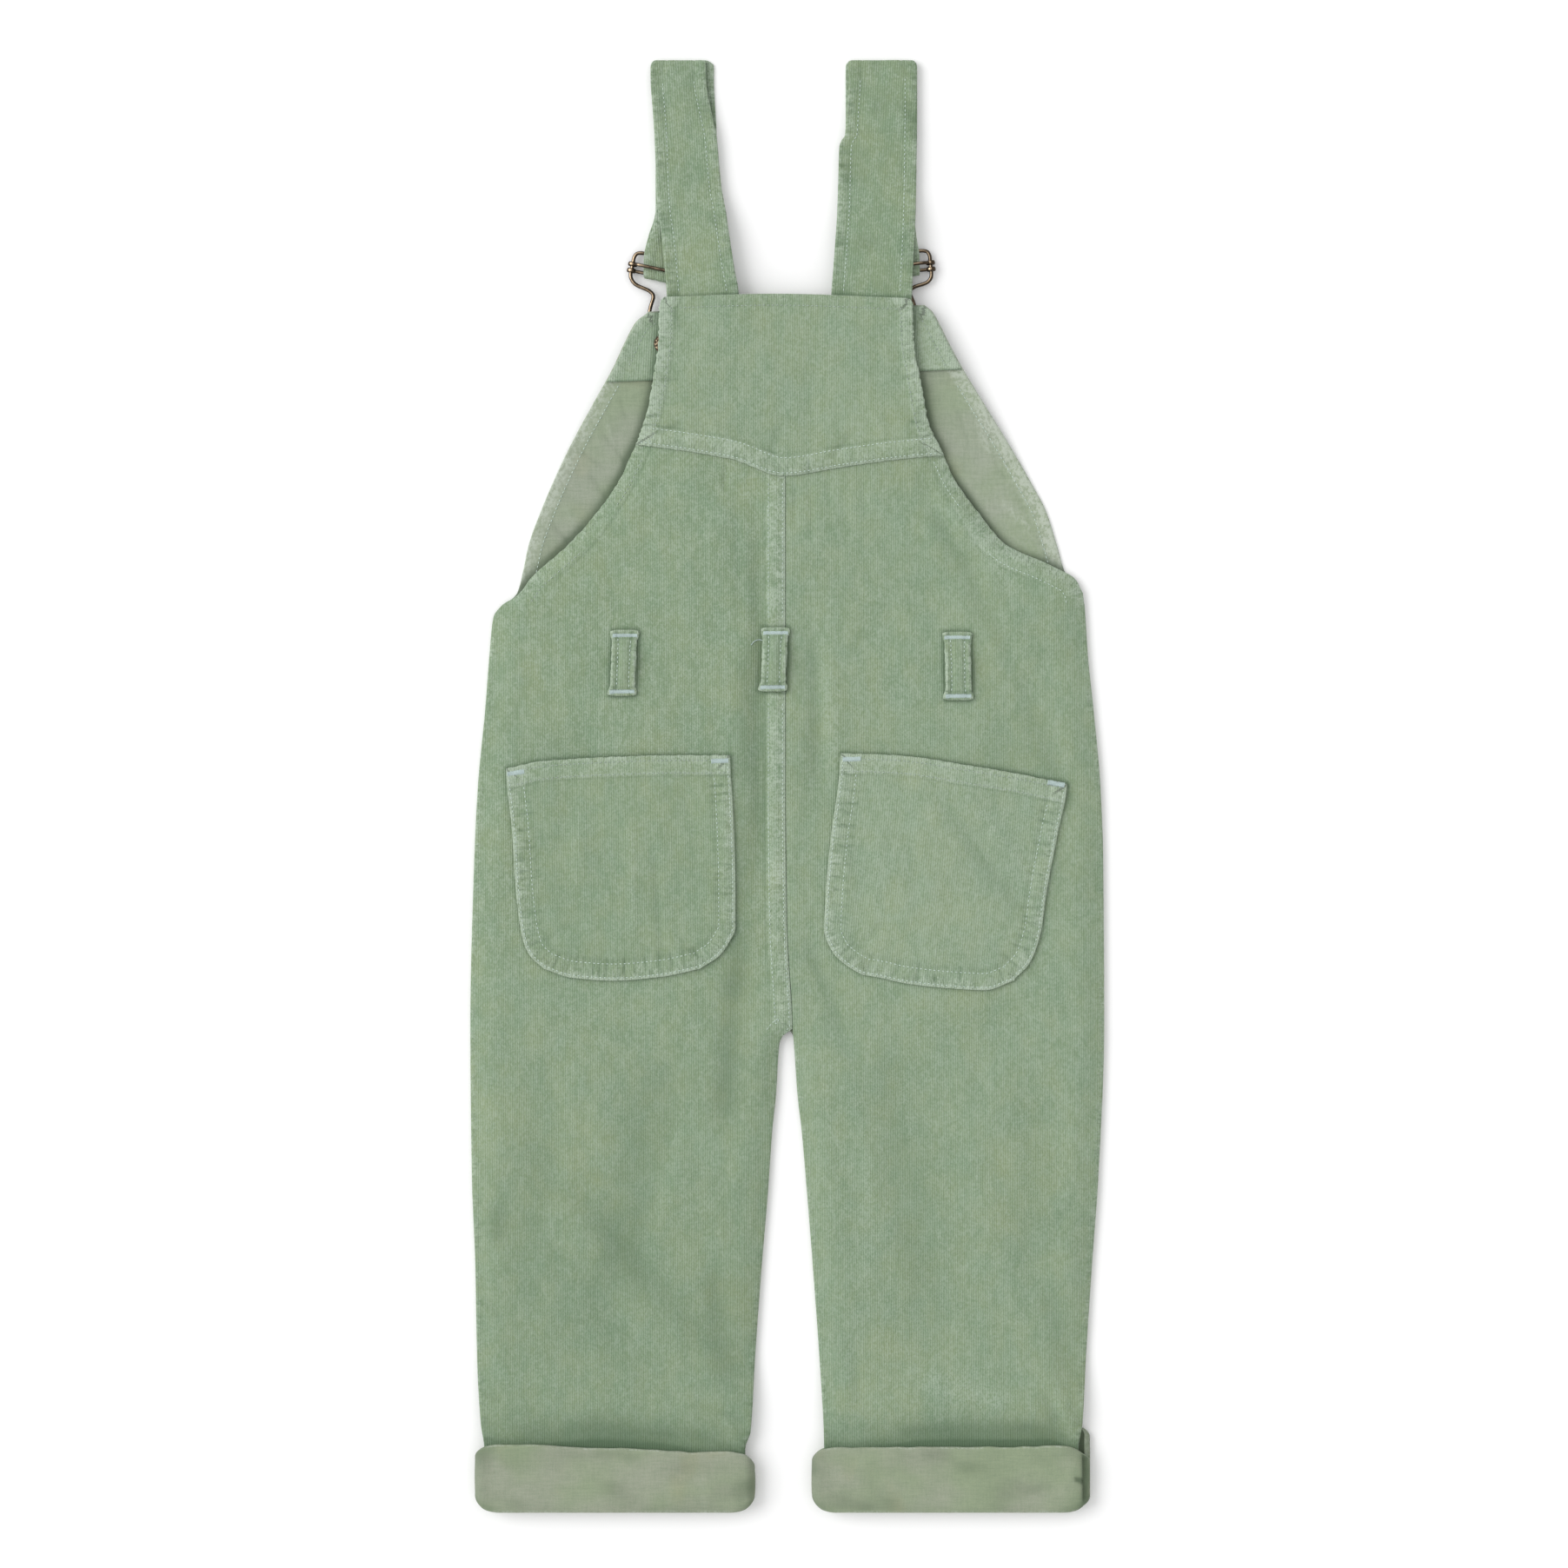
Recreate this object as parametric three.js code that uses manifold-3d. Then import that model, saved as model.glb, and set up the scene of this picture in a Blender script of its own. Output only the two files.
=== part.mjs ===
// Toddler overalls of fine corduroy, laid out flat on their front, so that the back shows.
// Millimetres. +Z is up from the surface, +Y runs to the shoulders, +X to the picture's right.
import * as THREE from 'three';
import { mergeVertices } from 'three/addons/utils/BufferGeometryUtils.js';
import Module from 'manifold-3d';

const wasm = await Module();
wasm.setup();

// Cloth
const clothWall = 1.4;
const facingWall = 1.2;
const loopWall = 1.8;
const seamGap = 0.3;
const hemRise = 0.5;
const seamRise = 0.7;
const bandSlope = 0.8;

// Levels along the length
const cuffBottom = -380;
const legEnd = -370;
const crotch = -131;
const frontWaist = 84;
const strapTop = 380;

// Bands and hems
const armholeHem = 7.3;
const felledSeam = 8.5;
const yokeBand = 10;
const pocketHem = 9;
const facingInset = 0.8;
const yokeCorner = 4;

// Cuffs
const cuffWall = 3.2;
const cuffHeight = 10.3;
const cuffCorner = 12;
const cuffRise = 7;
const cuffs = {
  left: { left: -163.4, right: -16.9, topLeft: -343.8, topRight: -349.2, skew: 0, frontPeak: 0 },
  right: { left: 12.9, right: 157.3, topLeft: -346, topRight: -345.6, skew: 2.2, frontPeak: 11.5 },
};

// The front lies on the surface and is lifted only by the cuffs and by the buttons
const legLift = cuffWall + seamGap;
const buttonLift = 5.1;
const sideRound = 16;
const pocketPuff = 0.7;
const loopArch = 1.1;

// Wire buckles
const wireRadius = 1.0;
const barRadius = 0.9;
const ringOuter = 2.5;
const ringLength = 2.4;
const ringPitch = 3.4;
const buckleHalf = 18.25;
const bailReach = 10;
const wireLevel = clothWall + seamGap + wireRadius;
const loopRadius = wireRadius + seamGap + clothWall / 2;
const wireSides = 8;
const buckles = {
  left: { x: -63.75, y: 266, turn: -12, lean: 6.35 },
  right: { x: 57.15, y: 268.6, turn: 6, lean: 0 },
};

// Buttons: a cap on the outside of the bib, a shank and a tack plate on the inside
const capRadius = 7;
const capHeight = 2.4;
const shankRadius = 1.9;
const shankHole = 2.3;
const plateRadius = 5;
const plateHeight = 0.9;
const shankReach = -34.4;

// Armholes and sides of the back, a row for each section
const backOutline = [
  { y: 250, left: -66.9, right: 65.7 },
  { y: 234, left: -67.3, right: 66.1 },
  { y: 213, left: -70, right: 69.5 },
  { y: 190, left: -75, right: 74 },
  { y: 175, left: -81, right: 81 },
  { y: 160, left: -88, right: 88 },
  { y: 144, left: -99, right: 99.5 },
  { y: 126, left: -115, right: 115 },
  { y: 116, left: -126.5, right: 137 },
  { y: 108, left: -135, right: 151 },
  { y: 100, left: -141, right: 155 },
  { y: 94, left: -150, right: 155.7 },
  { y: 88, left: -154, right: 156.2 },
  { y: 68, left: -156, right: 157.5 },
  { y: 39, left: -158.3, right: 160.5 },
  { y: 0, left: -162, right: 164 },
  { y: -40, left: -164, right: 165.5 },
  { y: -126, left: -166, right: 166 },
  { y: -204, left: -165.2, right: 163 },
  { y: -251, left: -163.4, right: 159.6 },
  { y: -300, left: -162.4, right: 156.4 },
  { y: -334, left: -160.3, right: 154.4 },
  { y: -347, left: -158.5, right: 152.4 },
  { y: -370, left: -158.5, right: 152.4 },
];

// Centre back seam down to the crotch, then the inner edges of the legs
const backCentre = [
  { y: 190, left: -1, right: -0.7 },
  { y: 0, left: -1, right: -0.7 },
  { y: -71, left: -0.3, right: 0 },
  { y: -94, left: 0.8, right: 1.1 },
  { y: -115, left: 2.2, right: 2.5 },
  { y: -127, left: 2.6, right: 2.9 },
  { y: -131, left: -2.5, right: 3.2 },
  { y: -135, left: -4.2, right: 3.6 },
  { y: -162, left: -6, right: 5.5 },
  { y: -181, left: -8, right: 7.7 },
  { y: -210, left: -10, right: 10.2 },
  { y: -258, left: -14, right: 14 },
  { y: -300, left: -17, right: 17 },
  { y: -338, left: -19.3, right: 19.2 },
  { y: -347, left: -22.1, right: 19.4 },
  { y: -370, left: -22.1, right: 19.4 },
];

// The front is joined by a straight centre seam above the crotch
const frontCentre = [
  { y: 90, left: -0.15, right: 0.15 },
  { y: -127, left: -0.15, right: 0.15 },
  ...backCentre.filter((row) => row.y <= crotch),
];

// Front bib, whose inner side shows at both armholes
const bibOutline = [
  { y: 252, left: -72, right: 71 },
  { y: 248, left: -73, right: 76 },
  { y: 243, left: -79, right: 79 },
  { y: 235, left: -83.6, right: 83 },
  { y: 218, left: -91.6, right: 92 },
  { y: 200, left: -101.6, right: 103 },
  { y: 180, left: -112.6, right: 115.4 },
  { y: 160, left: -122.2, right: 127 },
  { y: 144, left: -129, right: 135.5 },
  { y: 126, left: -135.5, right: 141.3 },
  { y: 112, left: -138.5, right: 145.5 },
  { y: 101, left: -141.5, right: 154 },
  { y: 92, left: -151, right: 155.8 },
  { y: 84, left: -154.4, right: 156.4 },
];

// Heights of the edges that run across, at shares of the width
const bibTopEdge = [
  { share: 0, y: 248 },
  { share: 0.5, y: 251 },
  { share: 1, y: 251.5 },
];
const yokeTopEdge = [
  { share: 0, y: 255.4 },
  { share: 0.45, y: 257 },
  { share: 1, y: 254.8 },
];
const facingLowerEdge = [
  { share: 0, y: 211 },
  { share: 1, y: 217.5 },
];
const yokeLowerEdge = [
  { share: 0, y: 178.5 },
  { share: 0.17, y: 175 },
  { share: 0.33, y: 170.5 },
  { share: 0.49, y: 162 },
  { share: 0.66, y: 166.3 },
  { share: 0.82, y: 170 },
  { share: 1, y: 173 },
];

// Patch pockets: sides by height, top and bottom edges by share
const pocketSides = {
  left: [
    { y: 16, left: -147, right: -30 },
    { y: 9, left: -147, right: -29.6 },
    { y: -23, left: -144, right: -27.8 },
    { y: -54, left: -142, right: -27 },
    { y: -74, left: -139.6, right: -27 },
    { y: -83, left: -137.5, right: -31 },
    { y: -89, left: -134.5, right: -35.5 },
    { y: -96, left: -127, right: -46 },
  ],
  right: [
    { y: 17, left: 28, right: 146.3 },
    { y: 1, left: 26.7, right: 146.3 },
    { y: -25, left: 23, right: 141.5 },
    { y: -55, left: 20.2, right: 135.8 },
    { y: -75, left: 19.3, right: 133 },
    { y: -87, left: 23.7, right: 129.6 },
    { y: -94, left: 31, right: 126 },
    { y: -101, left: 43, right: 119 },
  ],
};
const pocketEdges = {
  left: [
    { share: 0, top: 9, bottom: -96 },
    { share: 0.17, top: 13, bottom: -100.5 },
    { share: 0.45, top: 15, bottom: -102 },
    { share: 0.76, top: 16, bottom: -100 },
    { share: 1, top: 16, bottom: -96 },
  ],
  right: [
    { share: 0, top: 17, bottom: -99 },
    { share: 0.25, top: 16, bottom: -103.5 },
    { share: 0.55, top: 11, bottom: -106 },
    { share: 0.8, top: 6, bottom: -107 },
    { share: 1, top: 1, bottom: -102 },
  ],
};

// Belt loops, by the middle of each end
const beltLoops = [
  { name: 'left', topX: -84.8, bottomX: -86.4, top: 81.6, bottom: 46.9, width: 13.8, lift: 0 },
  { name: 'centre', topX: -6, bottomX: -7.6, top: 82.9, bottom: 49.2, width: 13.8, lift: seamRise },
  { name: 'right', topX: 89, bottomX: 89.6, top: 80.6, bottom: 44.6, width: 14.4, lift: 0 },
];

// Sections of each strap from its end under the yoke, over the shoulder fold, down the front,
// round the lower bar and back up to its free end
const strapSections = {
  left: {
    back: [
      { y: 244, z: 9.0, left: -62.5, right: -25, tilt: 0 },
      { y: 257, z: 9.0, left: -63, right: -25.3, tilt: 0 },
      { y: 270, z: 8.8, left: -64, right: -27.5, tilt: 0 },
      { y: 286, z: 8.6, left: -65.5, right: -30, tilt: 0 },
      { y: 300, z: 6.5, left: -67.5, right: -32, tilt: 0 },
      { y: 314, z: 4.4, left: -68.5, right: -34.5, tilt: 0 },
      { y: 340, z: 4.1, left: -69.5, right: -37, tilt: 0 },
      { y: 352, z: 3.7, left: -70.3, right: -39.5, tilt: 0 },
      { y: 371, z: 3.5, left: -71.6, right: -42.6, tilt: 0 },
    ],
    front: [
      { y: 371, z: 0.7, left: -70.4, right: -38.4, tilt: 0 },
      { y: 339, z: 0.7, left: -69, right: -37, tilt: 0 },
      { y: 302, z: 0.7, left: -69, right: -38, tilt: 0 },
      { y: 286, z: 0.7, left: -73, right: -43, tilt: -0.12 },
      { y: 275, z: 0.7, left: -75, right: -48.8, tilt: -0.21 },
    ],
    loop: { left: -75.2, right: -49.6 },
    inner: [
      { y: 275, z: 4.7, left: -75, right: -49.4, tilt: -0.21 },
      { y: 287, z: 4.7, left: -71.5, right: -43, tilt: -0.12 },
      { y: 302, z: 2.4, left: -68.6, right: -38.5, tilt: 0 },
      { y: 337, z: 2.4, left: -69, right: -38.5, tilt: 0 },
    ],
  },
  right: {
    back: [
      { y: 244, z: 9.0, left: 22.5, right: 64, tilt: 0 },
      { y: 257, z: 9.0, left: 23, right: 65.2, tilt: 0 },
      { y: 270, z: 8.8, left: 24, right: 65.8, tilt: 0 },
      { y: 286, z: 8.6, left: 25.2, right: 66.6, tilt: 0 },
      { y: 300, z: 6.5, left: 26.1, right: 67.2, tilt: 0 },
      { y: 314, z: 4.4, left: 26.6, right: 67.5, tilt: 0 },
      { y: 334, z: 4.2, left: 27.2, right: 67.8, tilt: 0 },
      { y: 338, z: 4.1, left: 28.4, right: 67.9, tilt: 0 },
      { y: 340, z: 4.1, left: 30.1, right: 67.9, tilt: 0 },
      { y: 352, z: 3.7, left: 30.9, right: 68, tilt: 0 },
      { y: 371, z: 3.5, left: 32, right: 68, tilt: 0 },
    ],
    front: [
      { y: 371, z: 0.7, left: 30.6, right: 67, tilt: 0 },
      { y: 339, z: 0.7, left: 30.6, right: 66.4, tilt: 0 },
      { y: 302, z: 0.7, left: 31.5, right: 66.6, tilt: 0 },
      { y: 288, z: 0.7, left: 36, right: 67.6, tilt: 0.05 },
      { y: 278, z: 0.7, left: 41.5, right: 69, tilt: 0.105 },
    ],
    loop: { left: 42.6, right: 69.4 },
    inner: [
      { y: 278, z: 4.7, left: 41.5, right: 69, tilt: 0.105 },
      { y: 289, z: 4.7, left: 32, right: 66.5, tilt: 0.05 },
      { y: 303, z: 2.4, left: 28.6, right: 64.5, tilt: 0 },
      { y: 337.5, z: 2.4, left: 28.6, right: 64, tilt: 0 },
    ],
  },
};

// Heights of the soft crown between the front and the back
const crownHeights = [
  { y: 256, height: 1.5 },
  { y: 215, height: 1.5 },
  { y: 180, height: 2.4 },
  { y: 120, height: 3 },
  { y: -280, height: 3 },
  { y: -320, height: 2.2 },
  { y: -343, height: 0.2 },
  { y: -370, height: 0.2 },
];

// Soft folds of the back, by the ends of each line; a trough has a negative height
const folds = [
  { x0: -15.5, y0: 140, x1: -14, y1: -60, width: 4.5, height: -1.5 },
  { x0: 14, y0: 78, x1: 16, y1: -4, width: 4.5, height: -1.3 },
  { x0: -120, y0: 30, x1: -104, y1: -20, width: 16, height: -0.7 },
  { x0: 120, y0: 34, x1: 108, y1: -30, width: 17, height: -0.8 },
  { x0: -60, y0: -125, x1: -96, y1: -285, width: 18, height: -0.9 },
  { x0: 52, y0: -122, x1: 74, y1: -290, width: 18, height: -0.9 },
  { x0: -130, y0: -140, x1: -128, y1: -260, width: 14, height: -0.6 },
  { x0: 132, y0: -150, x1: 126, y1: -270, width: 14, height: -0.6 },
  { x0: -40, y0: -250, x1: -30, y1: -318, width: 7, height: -0.8 },
  { x0: 138, y0: -262, x1: 146, y1: -316, width: 7, height: -0.8 },
];

// Interpolation and small sums
const clamp = (value, low, high) => Math.min(Math.max(value, low), high);
const mix = (a, b, share) => a + (b - a) * share;
const smooth = (from, to, value) => {
  const t = clamp((value - from) / (to - from), 0, 1);
  return t * t * (3 - 2 * t);
};
const radians = THREE.MathUtils.degToRad;

// A smooth function through the rows of a table, held flat past its ends and never overshooting
function through(rows, at, value) {
  const points = rows.map((row) => [row[at], row[value]]).sort((a, b) => a[0] - b[0]);
  const slopes = [];
  for (let i = 0; i < points.length - 1; i += 1) {
    slopes.push((points[i + 1][1] - points[i][1]) / (points[i + 1][0] - points[i][0]));
  }
  const tangents = points.map((_, i) => {
    const before = slopes[i - 1];
    const after = slopes[i];
    if (before === undefined || after === undefined) return before ?? after;
    return before * after <= 0 ? 0 : (2 * before * after) / (before + after);
  });
  return (x) => {
    const last = points.length - 1;
    if (x <= points[0][0]) return points[0][1];
    if (x >= points[last][0]) return points[last][1];
    let i = 0;
    while (x > points[i + 1][0]) i += 1;
    const span = points[i + 1][0] - points[i][0];
    const t = (x - points[i][0]) / span;
    const rise = (1 - t) * (1 - t);
    const start = (1 + 2 * t) * rise * points[i][1] + t * rise * span * tangents[i];
    const end = t * t * (3 - 2 * t) * points[i + 1][1] + t * t * (t - 1) * span * tangents[i + 1];
    return start + end;
  };
}

const backLeftSide = through(backOutline, 'y', 'left');
const backRightSide = through(backOutline, 'y', 'right');
const seamLeft = through(backCentre, 'y', 'left');
const seamRight = through(backCentre, 'y', 'right');
const crownAt = through(crownHeights, 'y', 'height');

// Underside of the front, flat on the surface between the cuffs and the bib
const frontUnder = (y) => legLift * smooth(-292, -331, y) + buttonLift * smooth(150, 225, y);

// Underside of the back, which rises from its side edges in a soft crown
function backUnder(x, y) {
  const outer = Math.min(x - backLeftSide(y), backRightSide(y) - x);
  const inner = x < seamLeft(y) ? seamLeft(y) - x : x - seamRight(y);
  const round = (distance) => Math.sin((Math.PI / 2) * clamp(distance / sideRound, 0, 1));
  const atSides = mix(round(outer), 1, smooth(180, 215, y));
  const atLegs = mix(1, round(inner), smooth(-105, -150, y));
  const crown = Math.max(crownAt(y) * atSides * atLegs + foldHeight(x, y), 0);
  return frontUnder(y) + clothWall + seamGap + crown;
}

function foldHeight(x, y) {
  let sum = 0;
  for (const fold of folds) {
    const alongX = fold.x1 - fold.x0;
    const alongY = fold.y1 - fold.y0;
    const length = Math.hypot(alongX, alongY);
    const along = ((x - fold.x0) * alongX + (y - fold.y0) * alongY) / length;
    const across = ((x - fold.x0) * alongY - (y - fold.y0) * alongX) / length;
    const ends = smooth(-0.15, 0.25, along / length) * smooth(1.15, 0.75, along / length);
    sum += fold.height * ends * Math.exp(-((across / fold.width) ** 2));
  }
  return sum;
}

const backOver = (x, y) => backUnder(x, y) + clothWall;

// Grid lines across or down a panel, as shares of its size with shifts from its edges
function stops(count, startLines = [], endLines = []) {
  const start = startLines.at(-1) ?? 0;
  const end = endLines.at(-1) ?? 0;
  const list = [{ share: 0, shift: 0 }];
  for (const line of startLines) list.push({ share: 0, shift: line });
  for (let i = 1; i < count; i += 1) {
    const share = i / count;
    list.push({ share, shift: start * (1 - share) - end * share });
  }
  for (const line of [...endLines].reverse()) list.push({ share: 1, shift: -line });
  list.push({ share: 1, shift: 0 });
  return list;
}

// Grid lines down a panel at chosen heights; the first ones follow its top edge
const stopsAt = (top, heights, followEnd, startLines = []) => [
  { share: 0, shift: 0 },
  ...startLines.map((line) => ({ share: 0, shift: line })),
  ...heights.map((y) => ({ y, top, follow: clamp((y - followEnd) / (top - followEnd), 0, 1) })),
  { share: 1, shift: 0 },
];

const band = (width) => [width, width + bandSlope];

// How far a point lies inside a turned band along an edge, 1 on the band and 0 past it
const onBand = (distance, width) => clamp((width + bandSlope - distance) / bandSlope, 0, 1);

// A closed wall over a grid of points; under and over give the heights of its two faces
function clothWallOver(grid, under, over) {
  const rows = grid.length;
  const columns = grid[0].length;
  const positions = [];
  for (const height of [under, over]) {
    for (const row of grid) {
      for (const point of row) positions.push(point.x, point.y, height(point));
    }
  }
  const at = (face, i, j) => face * rows * columns + i * columns + j;
  const indices = [];
  const quad = (a, b, c, d) => indices.push(a, b, c, a, c, d);
  for (let i = 0; i < rows - 1; i += 1) {
    for (let j = 0; j < columns - 1; j += 1) {
      quad(at(0, i, j), at(0, i, j + 1), at(0, i + 1, j + 1), at(0, i + 1, j));
      quad(at(1, i, j), at(1, i + 1, j), at(1, i + 1, j + 1), at(1, i, j + 1));
    }
  }
  for (let j = 0; j < columns - 1; j += 1) {
    quad(at(0, 0, j), at(1, 0, j), at(1, 0, j + 1), at(0, 0, j + 1));
    quad(at(0, rows - 1, j), at(0, rows - 1, j + 1), at(1, rows - 1, j + 1), at(1, rows - 1, j));
  }
  for (let i = 0; i < rows - 1; i += 1) {
    quad(at(0, i, 0), at(0, i + 1, 0), at(1, i + 1, 0), at(1, i, 0));
    quad(at(0, i, columns - 1), at(1, i, columns - 1), at(1, i + 1, columns - 1), at(0, i + 1, columns - 1));
  }
  return indexedGeometry(positions, indices);
}

function indexedGeometry(positions, indices) {
  const geometry = new THREE.BufferGeometry();
  geometry.setAttribute('position', new THREE.Float32BufferAttribute(positions, 3));
  geometry.setIndex(indices);
  geometry.computeVertexNormals();
  return geometry;
}

// A flat-cut panel between two sides and two edges; each point knows its place on the panel
function panel({ left, right, top, bottom, across, down, under, over }) {
  const width = right(top(0.5)) - left(top(0.5));
  const grid = down.map((line) => across.map((column) => {
    const high = top(column.share + column.shift / width);
    const low = bottom(column.share + column.shift / width);
    const followed = line.y + line.follow * (high - line.top);
    const y = line.share === undefined ? followed : mix(high, low, line.share) - line.shift;
    const start = left(y);
    const end = right(y);
    const x = mix(start, end, column.share) + column.shift;
    return { x, y, fromLeft: x - start, fromRight: end - x, fromTop: high - y, fromBottom: y - low };
  }));
  return clothWallOver(grid, under, over);
}

const level = (y) => () => y;

// Solids for cutting and joining
function toSolid(geometry) {
  const bare = geometry.clone();
  bare.deleteAttribute('normal');
  bare.deleteAttribute('uv');
  const merged = mergeVertices(bare, 1e-4);
  const vertProperties = new Float32Array(merged.attributes.position.array);
  const triVerts = new Uint32Array(merged.index.array);
  return new wasm.Manifold(new wasm.Mesh({ numProp: 3, vertProperties, triVerts }));
}

function fromSolid(solid) {
  const mesh = solid.getMesh();
  return indexedGeometry(Array.from(mesh.vertProperties), Array.from(mesh.triVerts));
}

// Front legs, flat on the surface
function frontLeg(side) {
  const heights = [45, 0, -45, -90, -120, -127, -131, -135, -150, -181, -210, -250, -275, -292, -302];
  const lifted = [-312, -319, -325, -334, -340, -347];
  return panel({
    left: side === 'left' ? backLeftSide : through(frontCentre, 'y', 'right'),
    right: side === 'left' ? through(frontCentre, 'y', 'left') : backRightSide,
    top: level(frontWaist - seamGap),
    bottom: level(legEnd),
    across: stops(4),
    down: stopsAt(frontWaist - seamGap, [...heights, ...lifted], 50),
    under: (point) => frontUnder(point.y),
    over: (point) => frontUnder(point.y) + clothWall,
  });
}

// Bib and its facing, both pierced for the button shanks
function shankCutter() {
  const holes = Object.values(buckles).map((buckle) => {
    const at = onBuckle(buckle, buckle.lean, shankReach);
    const cutter = new THREE.CylinderGeometry(shankHole, shankHole, 20, 20);
    cutter.rotateX(Math.PI / 2);
    cutter.translate(at.x, at.y, 10);
    return toSolid(cutter);
  });
  return holes[0].add(holes[1]);
}

function frontBib() {
  const heights = [243, 235, 225, 212, 198, 184, 170, 157, 144, 126, 112, 101, 96, 92];
  const bib = panel({
    left: through(bibOutline, 'y', 'left'),
    right: through(bibOutline, 'y', 'right'),
    top: through(bibTopEdge, 'share', 'y'),
    bottom: level(frontWaist),
    across: stops(6),
    down: stopsAt(251, heights, frontWaist),
    under: (point) => frontUnder(point.y),
    over: (point) => frontUnder(point.y) + clothWall,
  });
  return fromSolid(toSolid(bib).subtract(shankCutter()));
}

function frontFacing() {
  const left = through(bibOutline, 'y', 'left');
  const right = through(bibOutline, 'y', 'right');
  const top = through(bibTopEdge, 'share', 'y');
  const under = (point) => frontUnder(point.y) + clothWall + seamGap;
  const facing = panel({
    left: (y) => left(y) + facingInset,
    right: (y) => right(y) - facingInset,
    top: (share) => top(share) - facingInset,
    bottom: through(facingLowerEdge, 'share', 'y'),
    across: stops(8),
    down: stopsAt(250, [243, 235, 225], 215),
    under,
    over: (point) => under(point) + facingWall,
  });
  return fromSolid(toSolid(facing).subtract(shankCutter()));
}

// Back panels, with the turned armhole hem and the felled seam raised in their outer faces
const backHeights = [160, 150, 142, 134, 126, 121, 116, 112, 108, 104, 100, 97, 94, 90, 84, 68, 50, 30,
  0, -30, -60, -90, -115, -127, -131, -135, -150, -170, -190, -210, -232, -255, -275, -292, -302, -312,
  -319, -325, -334, -340, -347];

function backPanel(side) {
  const isLeft = side === 'left';
  const topEdge = through(yokeLowerEdge, 'share', 'y');
  const yokeShare = (share) => (isLeft ? 0.5 * share : 0.5 + 0.5 * share);
  const over = (point) => {
    const outer = isLeft ? point.fromLeft : point.fromRight;
    const hem = hemRise * onBand(outer, armholeHem) * smooth(94, 102, point.y);
    const seam = isLeft ? seamRise * onBand(point.fromRight, felledSeam) : 0;
    const belowYoke = smooth(yokeBand, yokeBand + 3, point.fromTop);
    return backOver(point.x, point.y) + (hem + seam * smooth(-133, -127, point.y)) * belowYoke;
  };
  const outerLines = [...band(armholeHem), sideRound];
  const seamLines = isLeft ? [...band(felledSeam), 14.5, 20, 27] : [6, 10.5, 15, 20, 27];
  const columns = 6;
  return panel({
    left: isLeft ? backLeftSide : seamRight,
    right: isLeft ? seamLeft : backRightSide,
    top: (share) => topEdge(yokeShare(share)) + yokeBand,
    bottom: level(legEnd),
    across: isLeft ? stops(columns, outerLines, seamLines) : stops(columns, seamLines, outerLines),
    down: stopsAt(180, backHeights, 116, [yokeBand, yokeBand + 3]),
    under: (point) => backUnder(point.x, point.y),
    over,
  });
}

// Yoke lapped over the top of the back panels
function backYoke() {
  const lowerEdge = through(yokeLowerEdge, 'share', 'y');
  const under = (point) => backOver(point.x, point.y) + seamGap;
  const over = (point) => {
    const sides = onBand(Math.min(point.fromLeft, point.fromRight), armholeHem);
    const bottom = onBand(point.fromBottom, yokeBand);
    return under(point) + clothWall + hemRise * Math.max(sides, bottom);
  };
  const topEdge = through(yokeTopEdge, 'share', 'y');
  const cornerStart = [topEdge(0) - yokeCorner, topEdge(1) - yokeCorner];
  const tuck = (y, end) => {
    const past = clamp(y - cornerStart[end], 0, 0.97 * yokeCorner);
    return yokeCorner - Math.sqrt(yokeCorner ** 2 - past ** 2);
  };
  return panel({
    left: (y) => backLeftSide(y) + tuck(y, 0),
    right: (y) => backRightSide(y) - tuck(y, 1),
    top: topEdge,
    bottom: lowerEdge,
    across: stops(10, [...band(armholeHem), sideRound], [...band(armholeHem), sideRound]),
    down: stops(7, [0.5, 1.8, yokeCorner], band(yokeBand)),
    under,
    over,
  });
}

function pocket(side) {
  const sides = pocketSides[side];
  const edges = pocketEdges[side];
  const width = Math.abs(sides[0].right - sides[0].left);
  const under = (point) => {
    const puff = pocketPuff * Math.sin(Math.PI * clamp(point.fromLeft / width, 0, 1));
    return backOver(point.x, point.y) + seamGap + Math.max(puff, 0) * smooth(0, 30, point.fromBottom);
  };
  return panel({
    left: through(sides, 'y', 'left'),
    right: through(sides, 'y', 'right'),
    top: through(edges, 'share', 'top'),
    bottom: through(edges, 'share', 'bottom'),
    across: stops(10),
    down: stops(10, band(pocketHem), [3, 8]),
    under,
    over: (point) => under(point) + clothWall + hemRise * onBand(point.fromTop, pocketHem),
  });
}

function beltLoop({ topX, bottomX, top, bottom, width, lift }) {
  const middle = (y) => mix(bottomX, topX, (y - bottom) / (top - bottom));
  const under = (point) => {
    const along = clamp(point.fromTop / (top - bottom), 0, 1);
    const arch = loopArch * smooth(0.12, 0.4, along) * smooth(0.88, 0.6, along);
    return backOver(point.x, point.y) + seamGap + lift + arch;
  };
  return panel({
    left: (y) => middle(y) - width / 2,
    right: (y) => middle(y) + width / 2,
    top: level(top),
    bottom: level(bottom),
    across: stops(3),
    down: stops(9),
    under,
    over: (point) => under(point) + loopWall,
  });
}

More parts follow.
